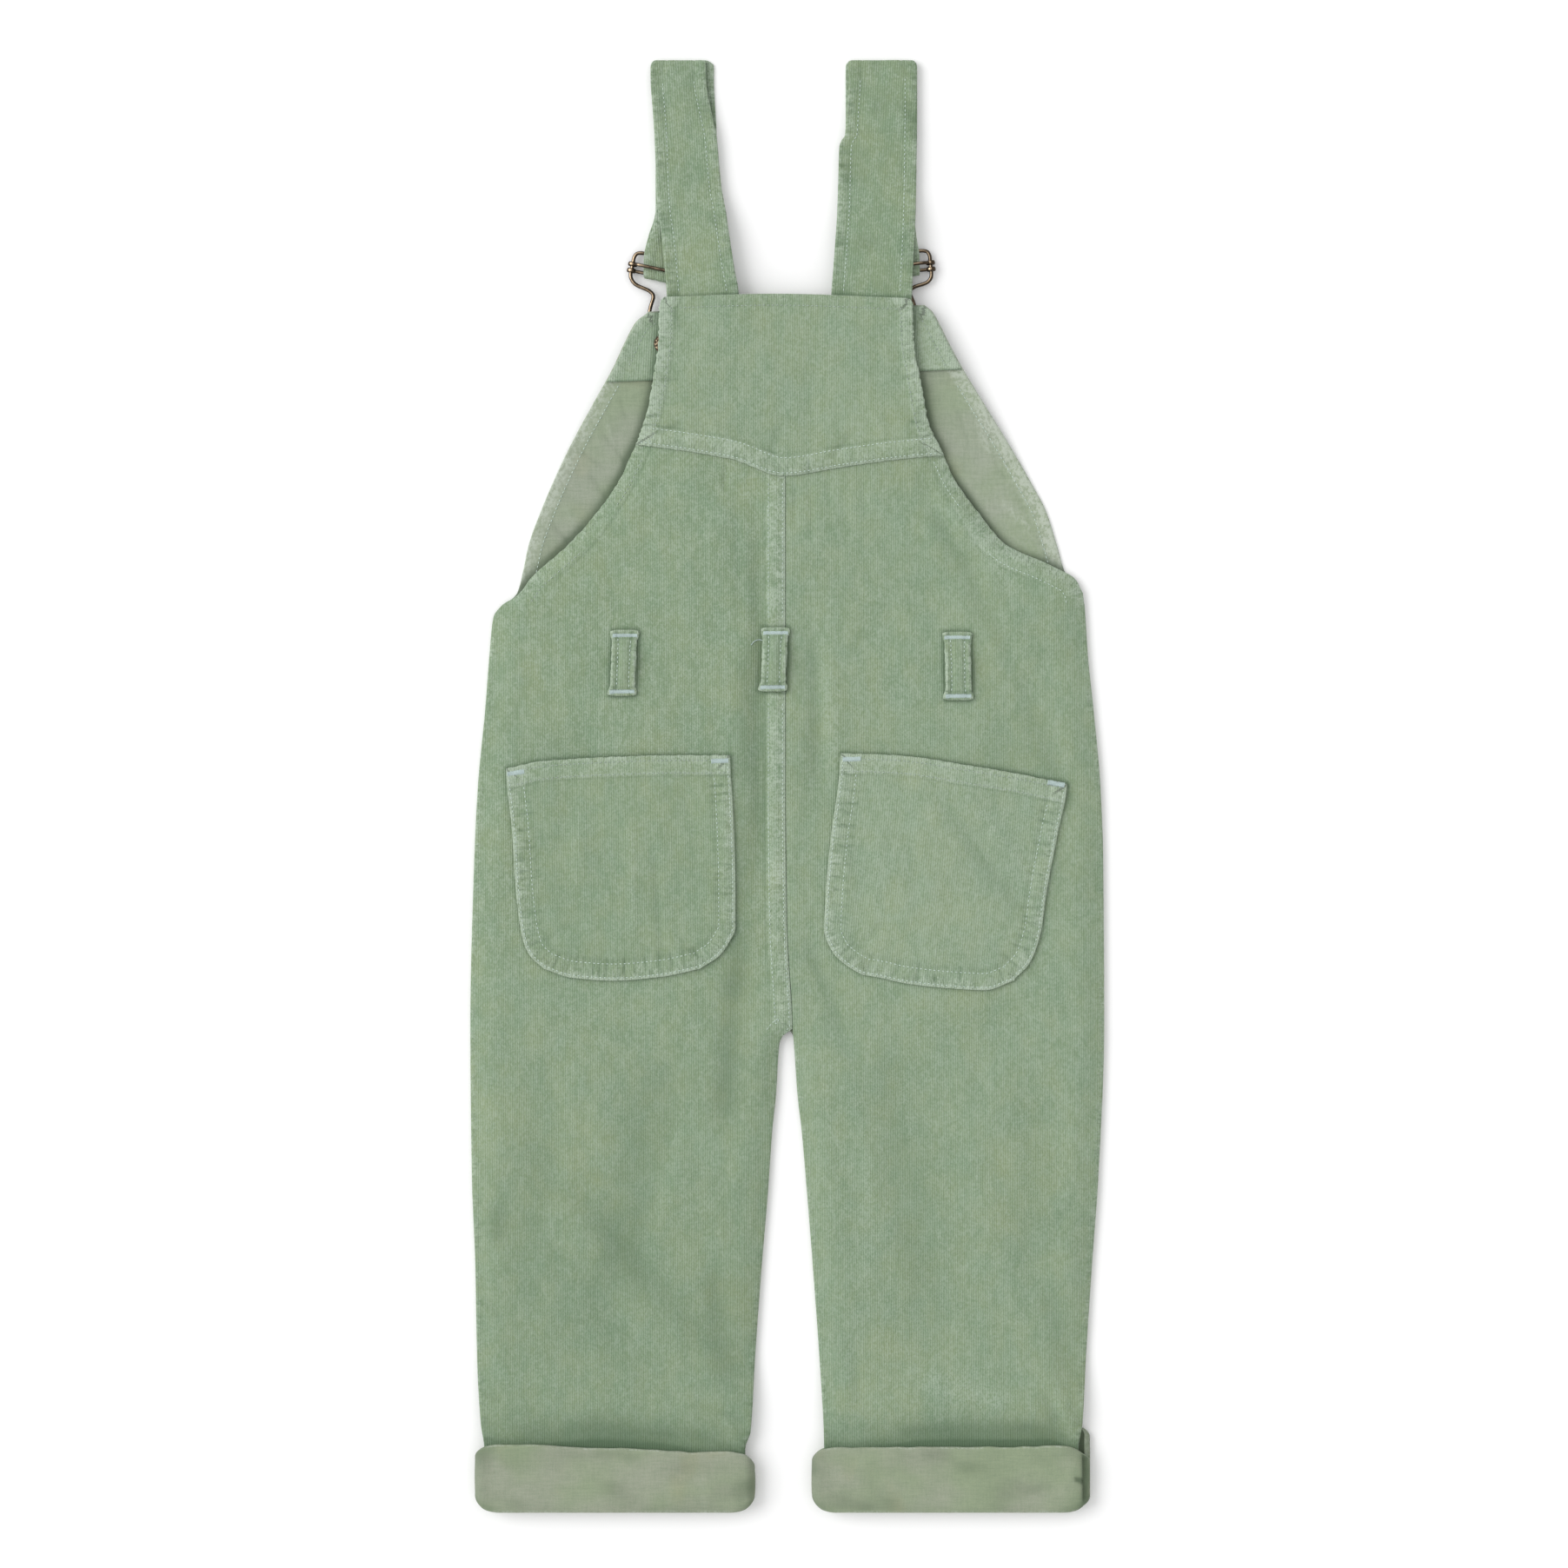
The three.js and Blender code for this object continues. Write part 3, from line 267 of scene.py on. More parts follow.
class Panel:
    # A cut piece of cloth seen from above, with its rows from the top and its columns from the left
    def __init__(self, left, right, top, bottom, spacing):
        middle = top(0.5)
        self.width = float(right(middle) - left(middle))
        self.length = float(middle - bottom(0.5))
        widest = max(self.width, float(right(bottom(0.5)) - left(bottom(0.5))))
        across, acrossShift = stops(widest, spacing)
        down, downShift = stops(self.length, spacing)
        share = np.clip(across + acrossShift / self.width, 0, 1)
        high, low = top(share)[None, :], bottom(share)[None, :]
        self.y = mix(high, low, down[:, None]) - downShift[:, None]
        start, end = left(self.y), right(self.y)
        self.x = mix(start, end, across[None, :]) + acrossShift[None, :]
        self.fromLeft, self.fromRight = self.x - start, end - self.x
        self.fromTop, self.fromBottom = high - self.y, self.y - low
        sides = [self.fromLeft, self.fromRight, self.fromTop, self.fromBottom]
        self.edge = np.minimum.reduce(sides)

    # An edge as a path that keeps the cloth on its left hand
    def path(self, side):
        rows = {
            "left": (slice(None), 0), "bottom": (-1, slice(None)),
            "right": (slice(None, None, -1), -1), "top": (0, slice(None, None, -1)),
        }[side]
        return np.stack([self.x[rows], self.y[rows]], 1)

    # Distance from the nearest of some edges, and the place along it
    def near(self, *sides):
        found = [follow(self.path(side), self.x, self.y) for side in sides]
        away = np.stack([each[0] for each in found])
        along = np.stack([each[1] + 400 * i for i, each in enumerate(found)])
        nearest = away.argmin(0)[None]
        return [np.take_along_axis(values, nearest, 0)[0] for values in (away, along)]

    def flat(self):
        return float(self.x.max() - self.x.min()), float(self.y.max() - self.y.min())

    def area(self):
        x, y = self.x, self.y
        first = (x[1:, 1:] - x[:-1, :-1]) * (y[1:, :-1] - y[:-1, 1:])
        second = (x[1:, :-1] - x[:-1, 1:]) * (y[1:, 1:] - y[:-1, :-1])
        return float(np.abs(first - second).sum() / 2)

    def heights(self, low, high, lip=1.0):
        lift = np.sqrt(1 - (1 - np.clip(self.edge / (lip * cloth["lip"]), 0, 1)) ** 2)
        middle, half = (low + high) / 2, (high - low) / 2 * lift
        over = np.stack([self.x, self.y, middle + half], 2)
        return over, np.stack([self.x, self.y, middle - half], 2)


# How far along a path each of its points lies
def runLength(path):
    return np.concatenate([[0], np.cumsum(np.hypot(*np.diff(path, axis=0).T))])


def pointsAt(path, at):
    total = runLength(path)
    return np.stack([np.interp(at, total, path[:, 0]), np.interp(at, total, path[:, 1])], 1)


pathStep = 0.5


def dense(path):
    return pointsAt(path, np.arange(0, runLength(path)[-1], pathStep))


# Distance of each point from a path, and how far along the path it lies
def follow(path, x, y):
    points = dense(path)
    tree = KDTree(len(points))
    for i, (px, py) in enumerate(points):
        tree.insert((px, py, 0), i)
    tree.balance()
    found = [tree.find((a, b, 0))[1:] for a, b in zip(x.ravel(), y.ravel())]
    along, distance = np.array(found).T
    return distance.reshape(x.shape), pathStep * along.reshape(x.shape)


# A row a set distance inside a path
def inset(path, distance):
    points = dense(path)
    run = np.gradient(points, axis=0)
    run /= np.hypot(run[:, 0], run[:, 1])[:, None]
    reach = 9
    kernel = np.ones(reach) / reach
    for column in (0, 1):
        padded = np.pad(run[:, column], reach // 2, mode="edge")
        run[:, column] = np.convolve(padded, kernel, mode="valid")
    return points + distance * np.stack([-run[:, 1], run[:, 0]], 1)


# Shaders

class Wire:
    # A socket in a sum: + - * and / add Math nodes
    def __init__(self, shader, socket):
        self.shader, self.socket = shader, socket

    def sum(self, operation, first, second):
        return self.shader.node("Math", {"operation": operation}, {0: first, 1: second})

    def __add__(self, other): return self.sum("ADD", self, other)
    def __radd__(self, other): return self.sum("ADD", other, self)
    def __sub__(self, other): return self.sum("SUBTRACT", self, other)
    def __rsub__(self, other): return self.sum("SUBTRACT", other, self)
    def __mul__(self, other): return self.sum("MULTIPLY", self, other)
    def __rmul__(self, other): return self.sum("MULTIPLY", other, self)
    def __truediv__(self, other): return self.sum("DIVIDE", self, other)


class Shader:
    def __init__(self, name):
        self.material = bpy.data.materials.new(name)
        self.material.use_nodes = True
        self.tree = self.material.node_tree
        self.tree.nodes.clear()

    # Any node: its settings first, then the values or links of its sockets
    def node(self, kind, settings=None, sockets=None, output=0):
        made = self.tree.nodes.new("ShaderNode" + kind)
        for key, value in (settings or {}).items():
            setattr(made, key, value)
        for key, value in (sockets or {}).items():
            if isinstance(value, Wire):
                self.tree.links.new(value.socket, made.inputs[key])
            else:
                made.inputs[key].default_value = value
        return Wire(self, made.outputs[output] if made.outputs else None)

    def blend(self, factor, first, second, kind="MIX"):
        settings = {"data_type": "RGBA", "blend_type": kind}
        return self.node("Mix", settings, {0: factor, 6: first, 7: second}, 2)

    def clamp(self, value, low, high):
        return self.node("MapRange", {"interpolation_type": "SMOOTHSTEP"},
                         {0: value, 1: low, 2: high, 3: 0.0, 4: 1.0})

    # Object coordinates divided into cells of a size in millimetres
    def cells(self, sizeX, sizeY, sizeZ, shift=(0, 0, 0), turn=0.0):
        place = self.node("TexCoord", output=3)
        scale = [1000 / sizeX, 1000 / sizeY, 1000 / sizeZ]
        return self.node("Mapping", sockets={
            "Vector": place, "Location": shift, "Rotation": (0, 0, turn), "Scale": scale})

    def noise(self, cells, detail=2.0, rough=0.5):
        return self.node("TexNoise", sockets={
            "Vector": cells, "Scale": 1.0, "Detail": detail, "Roughness": rough})

    # Gathers along a seam: narrow along it and long across it, by each point's place from its edge
    def gathers(self, along, across, seed):
        place = self.node("CombineXYZ", sockets={
            0: self.attribute("along") / along, 1: self.attribute("inward") / across, 2: float(seed)})
        return self.noise(place, 2.0, 0.55)

    def attribute(self, name):
        return self.node("Attribute", {"attribute_name": name}, output=2)

    def finish(self, colour, rough, bumps, **surface):
        normal = None
        for height, distance in bumps:
            sockets = {"Height": height, "Distance": distance * mm, "Strength": 1.0}
            if normal:
                sockets["Normal"] = normal
            normal = self.node("Bump", sockets=sockets)
        sockets = {"Base Color": colour, "Roughness": rough}
        if normal:
            sockets["Normal"] = normal
        sockets.update({key.replace("_", " "): value for key, value in surface.items()})
        shader = self.node("BsdfPrincipled", sockets=sockets)
        self.node("OutputMaterial", sockets={"Surface": shader})
        return self.material


# Fine corduroy, garment washed: ribs along the piece, mottled pile, pale rubbed edges with painted light on
# ridges, and painted shade in creases, folds and hollows
corduroyLook = {
    "deep": (0.186, 0.261, 0.162, 1), "middle": (0.215, 0.291, 0.179, 1),
    "yellow": (0.271, 0.318, 0.176, 1), "cool": (0.179, 0.271, 0.180, 1),
    "pale": (0.385, 0.463, 0.367, 1), "shadow": (0.085, 0.136, 0.079, 1),
    "ribPitch": 1.2, "ribDepth": 0.19, "cloud": 34, "streakLength": 13, "seamReach": 9.5,
}


def corduroy(name, seed, turn=0.0, lighter=0.0, strength=1.0):
    look = corduroyLook
    s = Shader(name)
    shift = (seed * 7.31, seed * 3.17, 0)
    cloud = s.noise(s.cells(look["cloud"], look["cloud"] * 1.4, 60, shift, turn), 3.0, 0.55)
    patch = s.noise(s.cells(52, 75, 90, (seed * 2.7, 4, 1), turn), 2.0)
    blotch = s.noise(s.cells(12, 17, 17, (seed * 1.3, 9, 2), turn), 3.0, 0.6)
    mottle = s.noise(s.cells(5.5, 8, 8, shift, turn), 3.0, 0.6)
    streak = s.noise(s.cells(2.4, look["streakLength"], 20, shift, turn), 2.0, 0.6)
    speckle = s.noise(s.cells(1.5, 2.0, 1.8, shift, turn), 2.0, 0.6)
    fleck = s.noise(s.cells(0.7, 1.1, 0.9, shift, turn), 2.0, 0.6)
    fibre = s.noise(s.cells(0.32, 0.5, 0.4, shift, turn), 1.0)
    wobble = s.noise(s.cells(14, 30, 30, shift, turn), 1.0)
    flat = s.cells(look["ribPitch"], look["ribPitch"], look["ribPitch"], (0, 0, 0), turn)
    across = s.node("SeparateXYZ", sockets={0: flat}, output=0)
    phase = (across + wobble * 0.5) * (2 * math.pi)
    rib = s.node("Math", {"operation": "SINE"}, {0: phase}) * 0.5 + 0.5
    wear, crease = s.attribute("wear"), s.attribute("crease")
    # Close gathers in the seams, painted on the pile: a painted highlight on their ridges and painted shade
    # in their hollows
    close = s.clamp(s.gathers(1.25, 6, seed), 0.36, 0.64)
    wide = s.clamp(s.gathers(2.5, 11, seed + 5), 0.38, 0.62)
    seam = s.clamp(s.attribute("inward"), look["seamReach"], 2.5) * s.clamp(wear, 0.0, 0.35)
    base = s.blend(s.clamp(cloud, 0.3, 0.7) * 0.75, look["deep"], look["middle"])
    sunny = s.clamp(patch, 0.48, 0.68) * 0.28 + s.clamp(blotch, 0.48, 0.66) * 0.2
    base = s.blend(sunny, base, look["yellow"])
    base = s.blend(s.clamp(blotch, 0.5, 0.34) * 0.32, base, look["cool"])
    fine = s.clamp(fleck, 0.32, 0.68) * 0.28 + s.clamp(speckle, 0.34, 0.66) * 0.2 + rib * 0.15
    broad = s.clamp(mottle, 0.32, 0.68) * 0.13 + s.clamp(streak, 0.3, 0.7) * 0.1
    level = s.node("SeparateXYZ", sockets={0: s.node("TexCoord", output=3)}, output=1)
    kept = s.clamp(level, -0.16, -0.06) * (strength - 1) + 1
    base = s.blend((fine + broad - 0.43) * kept + (lighter + 0.19), base, look["pale"])
    # Pale marks: real wear on edges and seams, with painted light on fold ridges and on the gathers' ridges
    highlightAndWear = wear * (0.32 + s.clamp(fleck, 0.35, 0.65) * 0.55 + s.clamp(speckle, 0.36, 0.64) * 0.45
                     + close * 0.25 + wide * 0.16)
    base = s.blend(s.clamp(highlightAndWear, 0.08, 1.05) * 0.85, base, look["pale"])
    # Painted shade in the gathers' hollows joins the painted shade of creases, folds and edges, and pulls the
    # pile towards the shadow colour
    gatherShade = seam * (1 - wide) * (0.2 + 0.4 * (1 - close))
    dark = crease + gatherShade * 0.7
    base = s.blend(s.clamp(dark, 0.0, 1.0) * 0.6 + s.clamp(dark, 1.0, 2.0) * 0.32, base, look["shadow"])
    height = rib * 0.75 + fleck * 0.6 + fibre * 0.18 + speckle * 0.8 + seam * (close * 0.9 + wide * 0.8)
    return s.finish(base, 0.88, [(height, look["ribDepth"])],
                    Sheen_Weight=0.22, Sheen_Roughness=0.45, Sheen_Tint=(0.83, 0.88, 0.84, 1),
                    Specular_IOR_Level=0.18)


# The plain wrong side: a smooth close weave
wrongLook = {
    "middle": (0.284, 0.344, 0.234, 1), "grey": (0.319, 0.355, 0.280, 1),
    "warm": (0.336, 0.339, 0.222, 1), "dark": (0.163, 0.213, 0.141, 1), "pale": (0.450, 0.499, 0.423, 1),
    "shadow": (0.067, 0.100, 0.058, 1),
}
cuffTones = {
    "middle": (0.267, 0.323, 0.210, 1), "grey": (0.306, 0.333, 0.254, 1), "warm": (0.325, 0.323, 0.204, 1),
}


def wrongSide(name, seed, turn=0.0, tones=None):
    look = {**wrongLook, **(tones or {})}
    s = Shader(name)
    shift = (seed * 5.3, seed * 1.9, 0)
    cloud = s.noise(s.cells(42, 30, 40, shift, turn), 2.0)
    patch = s.noise(s.cells(24, 34, 40, (seed, 7, 3), turn), 2.0)
    slub = s.noise(s.cells(9, 0.9, 5, shift, turn), 2.0, 0.6)
    upright = s.noise(s.cells(0.9, 9, 5, shift, turn), 2.0, 0.6)
    grain = s.noise(s.cells(0.6, 0.6, 0.6, shift, turn), 2.0)
    blotch = s.noise(s.cells(7, 5, 6, shift, turn), 3.0, 0.6)
    speckle = s.noise(s.cells(1.7, 2.2, 2.0, shift, turn), 2.0, 0.6)
    wear, crease = s.attribute("wear"), s.attribute("crease")
    base = s.blend(s.clamp(cloud, 0.35, 0.65), look["middle"], look["grey"])
    base = s.blend(s.clamp(patch, 0.55, 0.72) * 0.35, base, look["warm"])
    weave = s.clamp(slub, 0.3, 0.7) * 0.2 + s.clamp(upright, 0.3, 0.7) * 0.15
    weave = weave + s.clamp(blotch, 0.34, 0.66) * 0.1 + s.clamp(grain, 0.3, 0.7) * 0.2 - 0.14
    base = s.blend(weave, base, look["dark"])
    # Pale from real wear, with painted light on ridges and on the lit side; dark from painted shade, with
    # some random tone
    highlightAndWear = wear * (0.25 + s.clamp(speckle, 0.36, 0.64) * 0.9 + s.clamp(grain, 0.35, 0.65) * 0.5)
    base = s.blend(s.clamp(highlightAndWear, 0.05, 1.1) * 0.8, base, look["pale"])
    base = s.blend(s.clamp(crease, 0.0, 1.0) * 0.75, base, look["shadow"])
    height = slub * 0.5 + upright * 0.5 + grain * 0.5 + wear * speckle * 2.5
    return s.finish(base, 0.9, [(height, 0.1)], Sheen_Weight=0.12, Sheen_Roughness=0.5,
                    Specular_IOR_Level=0.15)


def threadFinish(name, colour):
    s = Shader(name)
    twist = s.noise(s.cells(0.35, 0.35, 0.35), 2.0)
    tone = s.noise(s.cells(6, 6, 6), 2.0)
    dark = tuple(0.72 * c for c in colour[:3]) + (1,)
    base = s.blend(s.clamp(twist, 0.3, 0.7) * 0.5 + s.clamp(tone, 0.4, 0.7) * 0.4, colour, dark)
    return s.finish(base, 0.7, [(twist, 0.05)], Specular_IOR_Level=0.3)


# Antique brass: random tarnish and dark pits, with a painted highlight on the faces turned towards the light
# and painted shade on the faces turned away
brassLook = {
    "dark": (0.055, 0.040, 0.026, 1), "bright": (0.60, 0.46, 0.31, 1), "pit": (0.03, 0.022, 0.016, 1),
}


def antiqueBrass(name, dimples=0.03, dots=0.0):
    look = brassLook
    s = Shader(name)
    tarnish = s.noise(s.cells(2.6, 2.6, 2.6), 4.0, 0.6)
    speck = s.noise(s.cells(0.5, 0.5, 0.5), 2.0)
    dimple = s.noise(s.cells(0.9, 0.9, 0.9), 1.0)
    # Painted highlight on the faces turned towards the light, broken by random tarnish
    highlightAndTarnish = s.clamp(s.attribute("highlightAndWear") * 0.7 + tarnish * 0.7, 0.45, 1.15)
    base = s.blend(highlightAndTarnish * (1 - s.clamp(dimple, 0.6, 0.48) * dots), look["dark"], look["bright"])
    base = s.blend(s.clamp(speck, 0.58, 0.75) * 0.35, base, look["pit"])
    rough = s.clamp(tarnish, 0.3, 0.7) * -0.16 + 0.42
    return s.finish(base, rough, [(tarnish, 0.04), (dimple, dimples)], Metallic=0.92)


finishes = {
    "panelLeft": corduroy("corduroyPanelLeft", 1, strength=1.3),
    "panelRight": corduroy("corduroyPanelRight", 2, lighter=0.03),
    "yoke": corduroy("corduroyYoke", 3, lighter=0.06, strength=1.05),
    "facing": corduroy("corduroyFacing", 4, 0.05, 0.16),
    "pocketLeft": corduroy("corduroyPocketLeft", 5, -0.01, -0.02),
    "pocketRight": corduroy("corduroyPocketRight", 6, 0.09, 0.10),
    "strapLeft": corduroy("corduroyStrapLeft", 7, -0.06, 0.0, 1.4),
    "strapRight": corduroy("corduroyStrapRight", 8, 0.05, -0.08, 1.4),
    "loops": corduroy("corduroyLoops", 9, 0.0, 0.03), "wrong": wrongSide("wrongSide", 1),
    "cuff": wrongSide("wrongSideCuff", 2, 1.57, cuffTones),
    "thread": threadFinish("threadPale", (0.542, 0.651, 0.575, 1)),
    "threadSoft": threadFinish("threadSoft", (0.369, 0.445, 0.374, 1)),
    "bartack": threadFinish("threadBartack", (0.499, 0.608, 0.591, 1)),
    "brass": antiqueBrass("antiqueBrass"), "tack": antiqueBrass("tackBrass", 0.35, 0.95),
}
print("materials made:", len(finishes))


sheets = []
stitchPieces = {}


# A smooth mesh from millimetre points, on the one body, with a value for each point by attribute name
def meshPiece(name, points, faces, used, marks=None):
    mesh = bpy.data.meshes.new(name)
    mesh.from_pydata((points * mm).tolist(), [], faces)
    mesh.polygons.foreach_set("use_smooth", np.ones(len(faces), bool))
    for key, values in (marks or {}).items():
        mesh.attributes.new(key, "FLOAT", "POINT").data.foreach_set("value", values.astype(np.float32))
    mesh.update()
    piece = bpy.data.objects.new(name, mesh)
    bpy.context.scene.collection.objects.link(piece)
    for finish in used:
        piece.data.materials.append(finishes[finish])
    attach(piece, "root")
    return piece


# Each sheet is kept in a list with its flat size, area, hold and what it rests on
def keepSheet(piece, node, flat, area, held, rests):
    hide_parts(node)
    sheets.append((piece, flat, area, held, rests))
    print(f"{piece.name}: flat {flat[0]:.0f} x {flat[1]:.0f} mm, {area / 100:.0f} cm2")


# Cloth pieces: two faces that meet in a rounded lip all round
def clothPiece(node, over, under, used, marks, flat, area, held, rests, slot="corduroy"):
    rows, columns = over.shape[:2]
    upper = np.arange(rows * columns).reshape(rows, columns)
    lower = upper.copy()
    inside = np.zeros((rows, columns), bool)
    inside[1:-1, 1:-1] = True
    lower[inside] = rows * columns + np.arange(inside.sum())
    points = np.concatenate([over.reshape(-1, 3), under[inside]])

    def quads(index, corners):
        parts = {"a": index[:-1, :-1], "b": index[1:, :-1], "c": index[1:, 1:], "d": index[:-1, 1:]}
        return np.stack([parts[corner].ravel() for corner in corners], 1)

    faces = np.concatenate([quads(upper, "abcd"), quads(lower, "adcb")])
    both = {key: np.concatenate([values.ravel(), values[inside]]) for key, values in marks.items()}
    piece = meshPiece(f"cloth_{node}", points, faces.tolist(), used, both)
    half = len(faces) // 2
    piece.data.polygons.foreach_set("material_index", np.repeat([0, 1], [half, half]).astype(np.int32))
    keepSheet(piece, node, flat, area, held, rests)
    return piece


# A cut panel as laid cloth between two heights; what marks the pile is real wear with painted light, painted
# shade with some random tone, and the seam's own grid
def laidPiece(node, cut, low, high, used, wear, crease, seam, rests, slot="corduroy", darkest=1, lip=1.0):
    marks = {"wear": clipped(wear), "crease": np.clip(crease, 0, darkest)}
    marks.update(inward=seam[0], along=seam[1])
    return clothPiece(node, *cut.heights(low, high, lip), used, marks, cut.flat(), cut.area(), "laid", rests,
                      slot)


def clipped(values):
    return np.clip(values, 0, 1)


# Rubbed marks near a seam: pale on the ridges, dark in the hollows
def rubbing(distance, reach, ridge, x, y, seed):
    near = np.exp(-(distance / reach) ** 2)
    return near * (0.55 + 0.35 * ridge + 0.35 * uneven(x, y, 4, 4, seed))


cuffs = {
    "left": {"left": -163.4, "right": -16.9, "topLeft": -343.8, "topRight": -349.2, "skew": 0, "peak": 0},
    "right": {"left": 12.9, "right": 157.3, "topLeft": -346, "topRight": -345.6, "skew": 2.2, "peak": 11.5},
}


def ridge(distance, width):
    return np.exp(-(distance / width) ** 2)


# Two gathers for a seam, a long and a short one
def gathered(along, pitch, seed):
    return ripples(along, pitch, seed) + 0.6 * ripples(along, 2.3 * pitch, seed + 1)


# Short tucks across a seam, unevenly spaced and unevenly deep
def tucks(along, pitch, seed, width=0.8):
    random = np.random.default_rng(seed)
    places = np.cumsum(random.uniform(0.5, 1.5, 200) * pitch)
    depths = random.uniform(0.3, 1, 200)
    after = np.clip(np.searchsorted(places, along), 1, 199)
    return sum(depths[i] * ridge(along - places[i], width) for i in (after - 1, after))


# The shade that a belt loop leaves round itself on the panel
def loopShade(x, y):
    total = 0 * x
    for loop in beltLoops:
        share = (y - loop["bottom"]) / (loop["top"] - loop["bottom"])
        middle = mix(loop["bottomX"], loop["topX"], share)
        past = np.maximum(np.abs(x - middle) - loop["width"] / 2, 0)
        beyond = np.maximum(np.abs(share - 0.5) - 0.5, 0) * (loop["top"] - loop["bottom"])
        total += ridge(np.hypot(past, beyond) - 0.3, 1.1)
    return total


def pocketCut(side, spacing):
    sides, edges = pocketSides[side], pocketEdges[side]
    return Panel(through(sides, "y", "left"), through(sides, "y", "right"), through(edges, "share", "top"),
                 through(edges, "share", "bottom"), spacing)


def pocketRim(cut):
    return np.concatenate([cut.path("left"), cut.path("bottom")[1:], cut.path("right")[1:]])


beltLoops = table("name topX bottomX top bottom width lift", [
    ("left", -84.8, -86.4, 81.6, 46.9, 13.8, 0), ("centre", -6, -7.6, 82.9, 49.2, 13.8, 0.7),
    ("right", 89, 89.6, 80.6, 44.6, 14.4, 0),
])

backLook = {
    "spacing": 1.6, "hem": 7.3, "hemRise": 0.5, "seam": 9.8, "seamRise": 0.6, "lap": 10, "meet": 0.13,
    "hemPucker": 0.24, "seamPucker": 0.14, "sidePucker": 0.36, "scallop": 0.45,
    "wider": {"left": 1.4, "right": 3.4}, "rub": {"left": 0.5, "right": 0.85},
}
# How much painted shade the leg gets where it runs into its cuff
cuffShade = {
    "left": through(table("x dark", [
        (-163, 0.4), (-148, 0.3), (-120, 0.6), (-93, 1.1), (-66, 1.1), (-50, 0.6), (-32, 0.3), (-19, 0.6),
    ]), "x", "dark"),
    "right": through(table("x dark", [
        (17, 0.6), (34, 0.3), (60, 0.75), (88, 1.1), (132, 1.1), (148, 0.35), (157, 0.5),
    ]), "x", "dark"),
}
backPanels = {}


